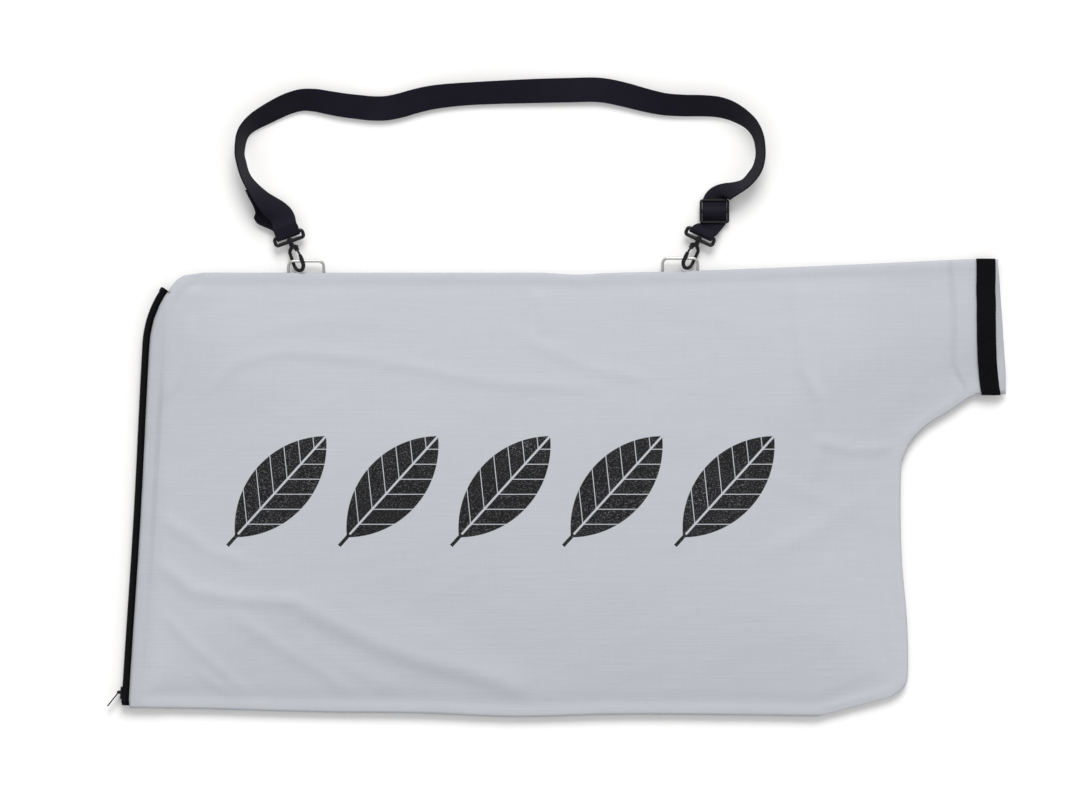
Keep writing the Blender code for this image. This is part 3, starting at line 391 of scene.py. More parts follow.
# The front panel lies over what little air is left in the bag, so it domes, and folds run in from the corners
# where the cloth has been lifted and dropped. Each fold is its way over the panel, its half width and its
# height.
FRONT_FOLDS = (
    (((-0.376, -0.074), (-0.340, -0.102), (-0.293, -0.110), (-0.230, -0.113)), 0.0085, 0.0019),
    (((-0.240, -0.112), (-0.199, -0.133), (-0.157, -0.154), (-0.104, -0.175), (-0.052, -0.188),
      (0.0, -0.205)), 0.0105, 0.0024),
    (((-0.215, -0.112), (-0.150, -0.140), (-0.080, -0.166), (0.0, -0.196)), 0.019, 0.0018),
    (((-0.376, -0.024), (-0.350, -0.042), (-0.324, -0.060), (-0.282, -0.073)), 0.0080, 0.0012),
    (((-0.371, -0.128), (-0.340, -0.160), (-0.308, -0.188), (-0.282, -0.214)), 0.0065, 0.0012),
    (((-0.334, -0.188), (-0.308, -0.207), (-0.287, -0.220)), 0.0060, 0.0010),
    (((-0.298, -0.128), (-0.251, -0.160), (-0.209, -0.184), (-0.178, -0.207)), 0.0085, 0.0014),
    (((-0.230, -0.155), (-0.178, -0.184), (-0.125, -0.207)), 0.0100, 0.0009),
    (((-0.343, 0.178), (-0.349, 0.143), (-0.359, 0.117), (-0.378, 0.094)), 0.0062, 0.0018),
    (((-0.376, 0.211), (-0.334, 0.209)), 0.0065, 0.0010),
    (((-0.329, 0.104), (-0.293, 0.136), (-0.240, 0.148), (-0.188, 0.143), (-0.125, 0.135), (-0.073, 0.123),
      (-0.010, 0.114), (0.084, 0.109)), 0.0075, 0.0011),
    (((0.0, 0.164), (0.037, 0.146), (0.073, 0.131), (0.136, 0.117)), 0.0075, 0.0010),
    (((-0.005, 0.226), (0.021, 0.201), (0.029, 0.169)), 0.0065, 0.0009),
    (((-0.282, 0.164), (-0.219, 0.180), (-0.146, 0.178)), 0.0085, 0.0006),
    (((0.288, 0.230), (0.290, 0.169), (0.296, 0.127), (0.313, 0.096), (0.316, 0.054), (0.305, 0.018)),
     0.0068, 0.0015),
    (((0.308, 0.054), (0.345, 0.044), (0.395, 0.047)), 0.0060, 0.0012),
    (((0.369, 0.002), (0.376, -0.055), (0.383, -0.113), (0.392, -0.181)), 0.0062, 0.0018),
    (((0.355, -0.008), (0.303, -0.042), (0.246, -0.066)), 0.0110, 0.0010),
    (((0.322, -0.071), (0.322, -0.165)), 0.0080, 0.0007),
    (((0.261, 0.015), (0.334, -0.014)), 0.0085, 0.0006),
    (((0.120, 0.205), (0.190, 0.186), (0.260, 0.165)), 0.0140, 0.0007),
)
HEM_FROM_ZIP = 0.0145
SLEEVE_HEM = 0.4520
LOFT = 0.023
DOME_REACH = 0.222
FRONT_BORDER = 0.008
CLOTH = 0.0008
HALF_SEAM = 0.00065
ZIP_LIFT = 0.0016
HEM_START = 0.098
HEM_GROOVE = 0.0030


def rumple(x, y, stretch, seed):
    """Smooth random waves, so many a metre along each axis."""
    return np.array([noise.noise(Vector((a * stretch[0], b * stretch[1], seed))) for a, b in zip(x, y)])


def sleeve_hem(y):
    """Where the hem across the sleeve runs: it swings out at both ends."""
    return SLEEVE_HEM + 0.012 * smooth((0.135 - y) / 0.030) ** 2 - 0.0035 * smooth((y - 0.185) / 0.05)


def beside_zip(x, y):
    return 1 - smooth((distance(x, y, SEAM_LEFT[:-1])[0] - 0.014) / 0.03)


def front_height(x, y):
    """The middle of the front cloth above the floor."""
    inside = seam_distance(x, y)
    deep = inside + (soft_distance(x, y) - inside) * smooth((inside - 0.01) / 0.02)
    t = np.clip((deep - FRONT_BORDER) / (DOME_REACH * (1 + 1.3 * smooth((x - RIGHT * 0.8) / 0.12))), 0, 1)
    height = SEAM_HEIGHT + HALF_SEAM + LOFT * (1 - (1 - t) ** 2) * smooth(t * 8 + 0.3)
    height += ZIP_LIFT * beside_zip(x, y)
    folds = np.zeros(x.shape)
    for way, half_width, rise in FRONT_FOLDS:
        off, along = distance(x, y, np.array(way))
        folds += rise * hump(off, half_width) * smooth(np.minimum(along + 0.15, 1.15 - along) / 0.3)
    return height + folds * smooth(inside / 0.03)


def front_creases(x, y):
    """What the cloth does on a small scale: puckers along its seams, waves all over, and the pressed hems."""
    inside = seam_distance(x, y)
    turned = (x * 0.9 + y * 0.42, y * 0.9 - x * 0.42)
    waves = rumple(*turned, (5.0, 14.0), 1.7) * 0.0007 + rumple(*turned, (13.0, 38.0), 4.1) * 0.00022
    creases = 1 - np.abs(rumple(*turned, (9.0, 26.0), 7.3)) * 2
    puckers = rumple(x, y, (55.0, 55.0), 2.9) * 0.0005 * np.exp(-inside / 0.018)
    result = (waves + np.clip(creases, 0, 1) ** 5 * 0.0002) * smooth((inside - 0.004) / 0.03) + puckers
    off_zip = distance(x, y, SEAM_LEFT[:-4])[0]
    result -= 0.0007 * hump(off_zip - HEM_FROM_ZIP, HEM_GROOVE)
    result -= 0.0009 * hump(x - sleeve_hem(y), HEM_GROOVE) * smooth((y - HEM_START) / 0.01)
    tuck = np.hypot((x - 0.4600) / 0.9, y - 0.1075)
    result += 0.0010 * hump(tuck, 0.006)
    return result + 0.0006 * hump(inside - 0.007, 0.004) - 0.0005 * np.exp(-inside / 0.002)


def front_surface(x, y):
    return front_height(x, y) + front_creases(x, y)


def panel(name, mouth, slant, height, columns, rows):
    """A sheet of cloth: a grid from the left edge to the right one, and beside it the sleeve's mouth."""
    left, right = left_edge(), right_edge(mouth)
    left_share, right_share = share(left), share(right)
    left_share[0], left_share[-1] = 0.0, 1.0
    right_share[0], right_share[-1] = 0.0, 1.0
    right[-2:, 0] = right[-3, 0]
    corners = [0.0, right_share[1], right_share[-3], 1.0]
    levels = [0.0]
    for low, high in zip(corners, corners[1:]):
        steps = max(1, round((high - low) * rows))
        levels += list(np.linspace(low, high, steps + 1)[1:])
    levels = np.array(levels)
    level, across = np.meshgrid(levels, np.linspace(0, 1, columns), indexing="ij")
    starts = np.interp(level, left_share, left[:, 0])
    ends = np.interp(level, right_share, right[:, 0])
    x = starts + (ends - starts) * across
    more = max(2, round((RIGHT + mouth - right[-1, 0]) * columns))
    out = mouth + slant * np.clip((1 - levels) / (1 - right_share[-3]) * 1.3 - 0.07, 0, 1) ** 0.8
    further = np.linspace(0, 1, more + 1)[None, 1:] * (RIGHT + out - right[-1, 0])[:, None]
    x = np.hstack([x, right[-1, 0] + further])
    level = np.hstack([level, levels[:, None].repeat(more, axis=1)])
    y = bottom_edge(x) * (1 - level) + top_edge(x) * level
    width = columns + more
    faces = []
    for row in range(len(levels) - 1):
        last = width - 1 if levels[row] >= right_share[-3] - 1e-9 else columns - 1
        for column in range(last):
            first = row * width + column
            faces.append((first, first + 1, first + width + 1, first + width))
    used = np.zeros(x.size, bool)
    used[np.array(faces).ravel()] = True
    x, y = x.ravel()[used], y.ravel()[used]
    number = np.cumsum(used) - 1
    points = np.column_stack([x, y, height(x, y)])
    return finished(name, points, [tuple(int(number[i]) for i in face) for face in faces], CLOTH)


def finished(name, points, faces, thickness=0.0):
    """A smooth mesh piece; a sheet gets its thickness."""
    mesh = bpy.data.meshes.new(name)
    mesh.from_pydata([tuple(p) for p in points], [], faces)
    mesh.shade_smooth()
    piece = placed(name, mesh)
    if thickness:
        shell = piece.modifiers.new("thickness", "SOLIDIFY")
        shell.thickness = thickness
        shell.offset = 0
    return piece


def woven_cloth(name):
    """Grey plain weave: uneven threads show as thin streaks, mostly crosswise, over a fine grid."""
    cloth = Finish(name, {"Roughness": 0.78, "Specular IOR Level": 0.2})
    weft = cloth.noise((14, 620, 14), 3.0, 0.65)
    weft_fine = cloth.noise((55, 1500, 55))
    warp = cloth.noise((620, 22, 22), 3.0, 0.6)
    mottle = cloth.noise((7, 9, 7))
    cloth.threads = cloth.ramp(weft * 0.55 + weft_fine * 0.2 + warp * 0.25, 0.34, 0.66)
    tone = cloth.threads * 0.6 + mottle * 0.4
    cloth.colour = cloth.paint(tone, (0.462, 0.480, 0.518), (0.502, 0.519, 0.558))
    return cloth


def raised_threads(cloth, folded):
    """The weave's relief, and under it the grooves of the hems."""
    x, y, _ = cloth.split(cloth.position())
    weave = cloth.math("SINE", x * (2 * math.pi / 0.0011)) * cloth.math("SINE", y * (2 * math.pi / 0.0009))
    cloth.bump(weave * 0.000015 + cloth.threads * 0.000075 - folded * 0.0006, 1.0)


# The front's print: a row of plain leaves in black ink. The ink sits on the raised threads, so the weave
# shows through it as fine pale specks. Along the hems' grooves, and over the strip between the zip and its
# hem, painted shade makes slightly darker bands.
LEAF_COUNT = 5
LEAF_PITCH = 0.1165
LEAF_ROW = (-0.016, 0.006)
LEAF_HALF_LENGTH = 0.071
LEAF_HALF_WIDTH = 0.0315
LEAF_TURN = math.radians(48)


def printed_leaves(cloth):
    """1 where the ink is: the same leaf at each step of the row."""
    x, y, _ = cloth.split(cloth.position())
    start = LEAF_ROW[0] - LEAF_PITCH * LEAF_COUNT / 2
    step = (x - start) / LEAF_PITCH
    within = (cloth.math("FRACT", step) - 0.5) * LEAF_PITCH
    up = y - LEAF_ROW[1]
    along = within * math.cos(LEAF_TURN) + up * math.sin(LEAF_TURN)
    off = cloth.math("ABSOLUTE", up * math.cos(LEAF_TURN) - within * math.sin(LEAF_TURN))
    radius = (LEAF_HALF_LENGTH ** 2 + LEAF_HALF_WIDTH ** 2) / (2 * LEAF_HALF_WIDTH)
    deep = off + (radius - LEAF_HALF_WIDTH)
    edge = cloth.math("SQRT", along * along + deep * deep)
    blade = cloth.ramp(edge, radius - 0.0004, radius + 0.0002, 1.0, 0.0)
    rib = cloth.ramp(off, 0.0008, 0.0014)
    vein = cloth.math("FRACT", (along - off * 0.9) / 0.021)
    veins = cloth.ramp(cloth.math("ABSOLUTE", vein - 0.5), 0.020, 0.034)
    stalk_end = cloth.ramp(along, -LEAF_HALF_LENGTH - 0.012, -LEAF_HALF_LENGTH - 0.0115)
    stalk_start = cloth.ramp(along, -LEAF_HALF_LENGTH + 0.004, -LEAF_HALF_LENGTH + 0.005, 1.0, 0.0)
    stalk = cloth.ramp(off, 0.0016, 0.0020, 1.0, 0.0) * stalk_end * stalk_start
    row = cloth.math("GREATER_THAN", step, 0.0) * cloth.math("LESS_THAN", step, float(LEAF_COUNT))
    return cloth.math("MAXIMUM", blade * rib * veins, stalk) * row


front = panel("front_cloth", SLEEVE_REACH, 0.0, front_surface, 300, 160)
printed = woven_cloth("printed_cloth")
ink = printed_leaves(printed)
speck = printed.ramp(printed.noise((700, 900, 700)), 0.50, 0.78)
worn = printed.noise((9, 14, 9), 3.0)
covered = ink * (1 - speck * worn * 0.5)
plan_x, plan_y, _ = printed.split(printed.position())
off_zip = ((plan_x - ZIP_FOOT.x) * math.cos(ZIP_LEAN) - (plan_y - ZIP_FOOT.y) * math.sin(ZIP_LEAN)
           - ZIP_BAND - HEM_FROM_ZIP)
zip_hem = (printed.ramp(printed.math("ABSOLUTE", off_zip), 0.0, 0.0036, 1.0, 0.0)
           * printed.ramp(plan_y, -0.19, 0.0) * printed.ramp(plan_y, 0.08, 0.16, 1.0, 0.0))
hem_way = (plan_x - SLEEVE_HEM - printed.ramp(plan_y, 0.105, 0.135, 0.012, 0.0)
           + printed.ramp(plan_y, 0.185, 0.235, 0.0, 0.0035))
cuff_hem = (printed.ramp(printed.math("ABSOLUTE", hem_way), 0.0, 0.0056, 0.65, 0.0)
            * printed.ramp(plan_y, HEM_START, 0.108))
grooves = zip_hem + cuff_hem
# Painted shade: the strip of cloth between the zip and its hem is made a little darker.
painted_strip_shade = printed.ramp(off_zip, -0.002, 0.003, 1.0, 0.0)
# Painted shade: the cloth's colour is darkened along the hems' grooves and over that strip.
painted_shade = 1 - grooves * 0.085 - painted_strip_shade * 0.055
painted_shade_colour = printed.mix(1.0, printed.colour, painted_shade, "MULTIPLY")
raised_threads(printed, grooves)
printed.set("Base Color", printed.mix(covered, painted_shade_colour, (0.0045, 0.0045, 0.0052, 1)))
printed.set("Roughness", 0.78 - ink * 0.12)
front.data.materials.append(printed.material)

# The back panel is the same cloth, cut a little longer at the sleeve. It lies flat on the floor and rises to
# the seam all round, with the soft puckers of cloth that is pulled up by its stitches.
BACK_BORDER = 0.010
RING_BORDER = 0.020
BACK_RISE = 0.035


def back_height(x, y):
    """The middle of the back cloth above the floor."""
    inside = seam_distance(x, y)
    near_rings = smooth((y - TOP + 0.09) / 0.03) * (1 - smooth((x - RIGHT * 0.75) / 0.06))
    drop = smooth((inside - BACK_BORDER - RING_BORDER * near_rings) / BACK_RISE)
    low = 0.0005 + 0.0022 * smooth((x - RIGHT - 0.02) / 0.04)
    high = SEAM_HEIGHT - HALF_SEAM - ZIP_LIFT * beside_zip(x, y)
    puckers = rumple(x, y, (50.0, 50.0), 5.9) * 0.0006 * np.exp(-inside / 0.02)
    waves = rumple(x, y, (12.0, 16.0), 3.3) * 0.0008 * (1 - drop) * smooth(inside / 0.02)
    return high + (low - high) * drop + puckers * (1 - drop) + waves


back = panel("back_cloth", SLEEVE_REACH + BACK_PEEK - 0.0045, 0.0080, back_height, 150, 90)
back_cloth = woven_cloth("plain_cloth")
raised_threads(back_cloth, 0.0)
back.data.materials.append(back_cloth.material)
for cloth_piece, node in ((front, "front_panel"), (back, "back_panel")):
    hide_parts(node)
    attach(cloth_piece, "bag")

# The stitches that hold the hems: thick grey thread in short even stitches, sunk a little into the cloth. One
# row runs beside the zip and one across the sleeve. They are laid along their lines by geometry nodes.
STITCH_PITCH = 0.0034
STITCH_LENGTH = 0.0026
THREAD = 0.0004


def node_group(name, sizes):
    """A geometry nodes group: a line, the named sizes and a material come in, and a mesh goes out."""
    group = bpy.data.node_groups.new(name, "GeometryNodeTree")
    sockets = (("Line", "Geometry"), *((size, "Float") for size in sizes), ("Material", "Material"))
    for socket, kind in sockets:
        group.interface.new_socket(socket, in_out="INPUT", socket_type="NodeSocket" + kind)
    group.interface.new_socket("Mesh", in_out="OUTPUT", socket_type="NodeSocketGeometry")
    nodes = Nodes(group)
    entry = group.nodes.new("NodeGroupInput")
    given = {socket.name: Value(nodes, socket) for socket in entry.outputs if socket.name}
    return group, nodes, given


def laid_along(nodes, given, shape, turned=None):
    """Sets a shape at every step of the line, its X along the line, and closes the group."""
    line = nodes.node("GeometryNodeMeshToCurve", inputs={"Mesh": given["Line"]})
    steps = nodes.node("GeometryNodeResampleCurve", {"mode": "LENGTH"}, {
        "Curve": line, "Length": given["Pitch"],
    })
    along = nodes.node("GeometryNodeInputTangent")
    turn = nodes.node("FunctionNodeAlignRotationToVector", {"axis": "X"}, {"Vector": along})
    if turned:
        turn = nodes.node("FunctionNodeRotateRotation", {"rotation_space": "LOCAL"}, {0: turn, 1: turned})
    laid = nodes.node("GeometryNodeInstanceOnPoints", inputs={
        "Points": steps, "Instance": shape, "Rotation": turn,
    })
    laid = nodes.node("GeometryNodeRealizeInstances", inputs={"Geometry": laid})
    laid = nodes.node("GeometryNodeSetShadeSmooth", inputs={"Geometry": laid})
    laid = nodes.node("GeometryNodeSetMaterial", inputs={"Geometry": laid, "Material": given["Material"]})
    nodes.feed(nodes.tree.nodes.new("NodeGroupOutput").inputs[0], laid)


def run_group(name, lines, group, values):
    """Runs a group on lines of points, and keeps the mesh that it makes."""
    points, edges = [], []
    for line in lines:
        edges += [(len(points) + i, len(points) + i + 1) for i in range(len(line) - 1)]
        points += [tuple(p) for p in line]
    mesh = bpy.data.meshes.new(name + "_line")
    mesh.from_pydata(points, edges, [])
    source = placed(name + "_line", mesh)
    run = source.modifiers.new(name, "NODES")
    run.node_group = group
    for item in group.interface.items_tree:
        if item.in_out == "INPUT" and item.name in values:
            run[item.identifier] = values[item.name]
    made = bpy.data.meshes.new_from_object(source.evaluated_get(bpy.context.evaluated_depsgraph_get()))
    bpy.data.objects.remove(source)
    return placed(name, made)


stitch_group, nodes, given = node_group("stitches", ("Pitch", "Length", "Thread"))
ball = nodes.node("GeometryNodeMeshUVSphere", inputs={"Segments": 8, "Rings": 8, "Radius": 1.0})
stretch = nodes.vector(given["Length"] * 0.5, given["Thread"] * 0.5, given["Thread"] * 0.5)
laid_along(nodes, given, nodes.node("GeometryNodeTransform", inputs={"Geometry": ball, "Scale": stretch}))


def on_front(points):
    """Puts places in plan on top of the front cloth."""
    x, y = np.array(points).T
    return np.column_stack([x, y, front_surface(x, y) + CLOTH / 2 + THREAD * 0.1])


grey_thread = Finish("grey_thread", {"Roughness": 0.7, "Specular IOR Level": 0.3})
grey_thread.paint(grey_thread.noise((2200, 2200, 2200)), (0.40, 0.43, 0.46), (0.52, 0.55, 0.58))
hem_line = []
for i in range(4, 120):
    spot, way = zip_path(ZIP_LENGTH * i / 122)
    hem_line.append(spot + Vector((way.y, -way.x)) * (ZIP_BAND + HEM_FROM_ZIP))
sleeve_foot = top_edge(SLEEVE_HEM) - SLEEVE_WIDTH + 0.004
sleeve_line = [(sleeve_hem(y), y) for y in np.linspace(sleeve_foot, 0.234, 60)]
hem_stitches = run_group("hem_stitches", [on_front(hem_line), on_front(sleeve_line)], stitch_group, {
    "Pitch": STITCH_PITCH, "Length": STITCH_LENGTH, "Thread": THREAD, "Material": grey_thread.material,
})
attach(hem_stitches, "bag")

# The cuff: a band of black ribbed elastic sewn round the sleeve's mouth. It is one loop that keeps just clear
# of the cloth all round, and it lies a little askew.
GAP = 0.0003
CUFF_WIDTH = 0.020
CUFF_THICKNESS = 0.0012
CUFF_START = RIGHT + SLEEVE_REACH - 0.0180
CUFF_EASE = 0.0013
CUFF_SKEW = 0.0056
CUFF_RIBS = 10
RIB_DEPTH = 0.00026


def unit(rows):
    """Ways, each with a length of 1."""
    return rows / np.linalg.norm(rows, axis=1)[:, None]


def swept(name, stations, profile, closed=False):
    """Carries a closed profile along stations of (centre, way across, way up). The UVs are in metres."""
    centre, across, up = (np.array([tuple(station[i]) for station in stations]) for i in range(3))
    profile = np.array(profile)
    count, size = len(centre), len(profile)
    points = (centre[:, None] + profile[None, :, :1] * across[:, None] + profile[None, :, 1:] * up[:, None])
    spans = count if closed else count - 1
    following = np.roll(centre, -1, axis=0)[:spans]
    along = np.concatenate([[0], np.cumsum(np.linalg.norm(following - centre[:spans], axis=1))])
    around = np.concatenate([[0], np.cumsum(np.linalg.norm(np.roll(profile, -1, axis=0) - profile, axis=1))])
    faces, uvs = [], []
    for i in range(spans):
        low, high = i * size, (i + 1) % count * size
        for j in range(size):
            k = (j + 1) % size
            faces.append((low + j, low + k, high + k, high + j))
            uvs += [(along[i], around[j]), (along[i], around[j + 1]), (along[i + 1], around[j + 1]),
                    (along[i + 1], around[j])]
    if not closed:
        last = (count - 1) * size
        for cap, place in ((list(range(size))[::-1], 0), (list(range(last, last + size)), -1)):
            faces.append(cap)
            uvs += [(along[place], around[j % size]) for j in cap]
    piece = finished(name, points.reshape(-1, 3), faces)
    layer = piece.data.uv_layers.new(name="cloth")
    layer.data.foreach_set("uv", np.array(uvs).ravel())
    work = bmesh.new()
    work.from_mesh(piece.data)
    bmesh.ops.recalc_face_normals(work, faces=work.faces)
    work.to_mesh(piece.data)
    work.free()
    return piece


def cuff_contour():
    """The loop round the sleeve as (y, z), seen from its mouth: over the front, then back under the bag."""
    xs = np.linspace(CUFF_START - 0.004, CUFF_START + CUFF_WIDTH + 0.004, 9)
    low = top_edge(CUFF_START + CUFF_WIDTH) - SLEEVE_WIDTH + 0.0001
    high = top_edge(CUFF_START + CUFF_WIDTH) - 0.0010
    ys = np.linspace(low, high, 110)
    over, under = [], []
    for y in ys:
        spread_y = np.concatenate([np.full(xs.shape, y + shift) for shift in (-0.0015, 0.0, 0.0015)])
        spread_x = np.concatenate([xs] * 3)
        over.append(front_surface(spread_x, spread_y).max())
        under.append(back_height(spread_x, spread_y).min())
    reach = CLOTH / 2 + CUFF_EASE
    kernel = np.ones(5) / 5
    over = np.convolve(np.pad(over, 2, "edge"), kernel, "valid") + reach
    under = np.convolve(np.pad(under, 2, "edge"), kernel, "valid") - reach
    end = (over[-1] + under[-1]) / 2
    start = (over[0] + under[0]) / 2
    top = list(zip(ys, over)) + [(high + 0.0006, end)]
    return np.array(top + list(zip(ys[::-1], under[::-1])) + [(low - 0.0006, start)])


contour = cuff_contour()
ways = unit(np.roll(contour, -1, axis=0) - np.roll(contour, 1, axis=0))
cuff_low, cuff_high = contour[:, 0].min(), contour[:, 0].max()
stations = []
for (y, z), (way_y, way_z) in zip(contour, ways):
    askew = CUFF_SKEW * ((cuff_high - y) / (cuff_high - cuff_low)) ** 5
    wave = 0.0005 * noise.noise(Vector((3.1, y * 45, z * 300)))
    middle = Vector((CUFF_START + CUFF_WIDTH / 2 + askew + wave, y, z))
    stations.append((middle + Vector((0, -way_z, way_y)) * CUFF_THICKNESS / 2, (1, 0, 0), (0, -way_z, way_y)))
ribs = []
for i in range(CUFF_RIBS * 8 + 1):
    across = (i / (CUFF_RIBS * 8) - 0.5) * CUFF_WIDTH
    edge = 1 - (2 * abs(across) / CUFF_WIDTH) ** 24
    rise = CUFF_THICKNESS / 2 - RIB_DEPTH + RIB_DEPTH * math.sin(math.pi * i / 8) ** 2
    ribs.append((across, rise * max(edge, 0.2)))
band = [(x, z) for x, z in ribs] + [(x, -z) for x, z in reversed(ribs)]
cuff = swept("cuff", stations, band, closed=True)


def elastic_finish():
    """Black elastic: covered rubber threads run round the sleeve, with the weft's fine zigzag over them."""
    elastic = Finish("black_elastic", {"Roughness": 0.75, "Specular IOR Level": 0.06})
    along, around, _ = elastic.split(elastic.node("ShaderNodeTexCoord", output=BY_UV))
    zigzag = elastic.math("PINGPONG", around, 0.00095) * 1.4
    picks = elastic.math("SINE", (along + zigzag) * (2 * math.pi / 0.0009))
    dust = elastic.noise((260, 260, 260), 3.0)
    elastic.paint(dust, (0.0020, 0.0018, 0.0024), (0.0062, 0.0058, 0.0068))
    elastic.bump(picks * 0.5 + dust * 0.6, 0.00014, 0.8)
    return elastic.material


cuff.data.materials.append(elastic_finish())
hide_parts("cuff_band")
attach(cuff, "bag")

# The zip's tapes: black woven tape sewn inside the left edges. Each one comes up from the teeth, turns over
# and goes down between the panels, so that from above the zip is a black band.
TAPE = 0.0007
TAPE_REACH = 0.018
TAPE_TAIL = 0.006
TAPE_SPREAD = 0.001
CHAIN_HALF_HEIGHT = 0.0026
CHAIN_HALF_THICKNESS = 0.001


def zip_station(along):
    spot, way = zip_path(along)
    return (*spot, SEAM_HEIGHT), (-way.y, way.x, 0), (0, 0, 1)


def tape(name, side):
    middle = spline([
        (0, CHAIN_HALF_HEIGHT + GAP), (0, 0.0046), (-0.0007, 0.0056), (-0.0020, 0.0058), (-0.0034, 0.0048),
        (-0.0044, 0.0028), (-0.0053, 0.0015), (-0.0065, TAPE_SPREAD), (-TAPE_REACH, TAPE_SPREAD),
    ], 3) * (1, side)
    ways = unit(np.gradient(middle, axis=0))
    across = np.column_stack([ways[:, 1], -ways[:, 0]]) * TAPE / 2
    places = [-TAPE_TAIL, *np.linspace(0, ZIP_STRAIGHT, 40), *np.linspace(ZIP_STRAIGHT, ZIP_LENGTH, 17)[1:]]
    profile = list(middle + across) + list((middle - across)[::-1])
    return swept(name, [zip_station(along) for along in places], profile)


def tape_finish():
    """Black tape in a herringbone twill."""
    twill = Finish("black_tape", {"Roughness": 0.72, "Specular IOR Level": 0.08})
    along, around, _ = twill.split(twill.node("ShaderNodeTexCoord", output=BY_UV))
    ridge = twill.math("SINE", (along + twill.math("PINGPONG", around, 0.0022)) * (2 * math.pi / 0.0010))
    fuzz = twill.noise((500, 500, 500), 3.0)
    twill.paint(fuzz, (0.0022, 0.0022, 0.0030), (0.0065, 0.0065, 0.0082))
    twill.bump(ridge * 0.5 + fuzz * 0.5, 0.00012, 0.8)
    return twill.material


black_tape = tape_finish()
for name, side in (("front", 1), ("back", -1)):
    tape_piece = tape("tape_" + name, side)
    tape_piece.data.materials.append(black_tape)
    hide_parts("zip_tape_" + name)
    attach(tape_piece, "bag")

# The zip's teeth: moulded black plastic, each a root and a wider head, set by turns on the front and the back
# tape so that they mesh. Geometry nodes lay them along the path, the straight part and the corner as two
# pieces, and the straight part's piece keeps a mesh of its own.
TOOTH_PITCH = 0.0017
tooth_group, nodes, given = node_group("teeth", ("Pitch", "Height", "Thickness"))
both = nodes.tree.nodes.new("GeometryNodeJoinGeometry")
for length, thickness, height, up in ((0.56, 2.0, 1.45, 0.27), (0.92, 1.5, 0.42, -0.30)):
    size = nodes.vector(given["Pitch"] * length, given["Thickness"] * thickness, given["Height"] * height)
    block = nodes.node("GeometryNodeMeshCube", inputs={"Size": size})
    block = nodes.node("GeometryNodeTransform", inputs={
        "Geometry": block, "Translation": nodes.vector(0.0, 0.0, given["Height"] * up),
    })
    nodes.tree.links.new(block.socket, both.inputs[0])
tooth = nodes.node("GeometryNodeSubdivisionSurface", inputs={
    "Mesh": Value(nodes, both.outputs[0]), "Level": 2, "Edge Crease": 0.62,
})
odd = nodes.math("MODULO", nodes.node("GeometryNodeInputIndex"), 2.0)
flip = nodes.node("FunctionNodeEulerToRotation", inputs={"Euler": nodes.vector(odd * math.pi, 0.0, 0.0)})
laid_along(nodes, given, tooth, flip)


def plastic_finish(name, shade, roughness):
    """Moulded black plastic: a faint grain, and a sheen that varies a little with handling."""
    plastic = Finish(name, {"Specular IOR Level": 0.16})
    grain = plastic.noise((1500, 1500, 1500))
    worn = plastic.noise((90, 90, 90))
    plastic.paint(worn, (shade, shade, shade * 1.1), (shade * 1.9, shade * 1.9, shade * 2))
    plastic.set("Roughness", worn * 0.14 + roughness)
    plastic.bump(grain, 0.00003, 0.6)
    return plastic.material


black_plastic = plastic_finish("black_plastic", 0.009, 0.32)
TEETH_START = 0.0045
TEETH_END = ZIP_LENGTH - 0.0070
for name, first, last in (("zip_teeth", TEETH_START, ZIP_STRAIGHT),
                          ("zip_teeth_corner", ZIP_STRAIGHT + TOOTH_PITCH, TEETH_END)):
    chain_line = [zip_station(along)[0] for along in np.linspace(first, last, 121)]
    chain = run_group(name, [chain_line], tooth_group, {
        "Pitch": TOOTH_PITCH, "Height": CHAIN_HALF_HEIGHT, "Thickness": CHAIN_HALF_THICKNESS,
        "Material": black_plastic,
    })
    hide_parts("zip_chain")
    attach(chain, "bag")
    if name == "zip_teeth":
        zip_station(ZIP_STRAIGHT)[0]
        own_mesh(chain)

# The strap: one length of black polyester webbing. It is folded round the left hook's eye and sewn to itself,
# lies in a loop past the bag's top, partly on edge, and at the right goes through the slide, round the eye
# and back.
WEBBING_WIDTH = 0.0256
WEBBING = 0.0016
WEB_RIB = 0.00085
WEB_PICK = 0.0017
FLOOR_GAP = 0.0006
DOUBLED_LENGTH = 0.058
PLY_SPREAD = 0.004
PLY_SPLAY = 0.015
EYE_SPACING = 0.0075
EYE_WIRE = 0.0019
HOOK_HEIGHT = 0.0098
HOOK_LEFT = Vector((-0.2396, 0.2617, HOOK_HEIGHT))
HOOK_RIGHT = Vector((0.1863, 0.26336, HOOK_HEIGHT))
TILT_LEFT = math.radians(20)
TILT_RIGHT = math.radians(-25)
SLIDE = Vector((0.2030, 0.29316, 0.0066))
SLIDE_WIRE = 0.0012
SLIDE_SPACING = 0.0115
PLY = WEBBING + GAP
EYE_TURN = EYE_WIRE + GAP + WEBBING / 2
UP = Vector((0, 0, 1))
# x, y past the top edge, and the roll in degrees
STRAP_WAY = (
    (-0.2680, 0.0770, 46), (-0.2842, 0.0975, 68), (-0.2905, 0.1153, 70), (-0.2922, 0.1289, 70),
    (-0.2872, 0.1483, 62), (-0.2668, 0.1643, 43), (-0.2278, 0.1807, 30), (-0.1829, 0.1752, 14),
    (-0.1400, 0.1723, 6), (-0.0941, 0.1831, 15), (-0.0418, 0.1879, 24), (0.0512, 0.1912, 4),
    (0.0920, 0.1902, 6), (0.1505, 0.1764, 28), (0.2059, 0.1735, 36), (0.2336, 0.1617, 54),
    (0.2470, 0.1465, 66), (0.2510, 0.1275, 70), (0.2487, 0.1120, 68), (0.2430, 0.1020, 66),
    (0.2350, 0.0935, 66), (0.2250, 0.0885, 57),
)
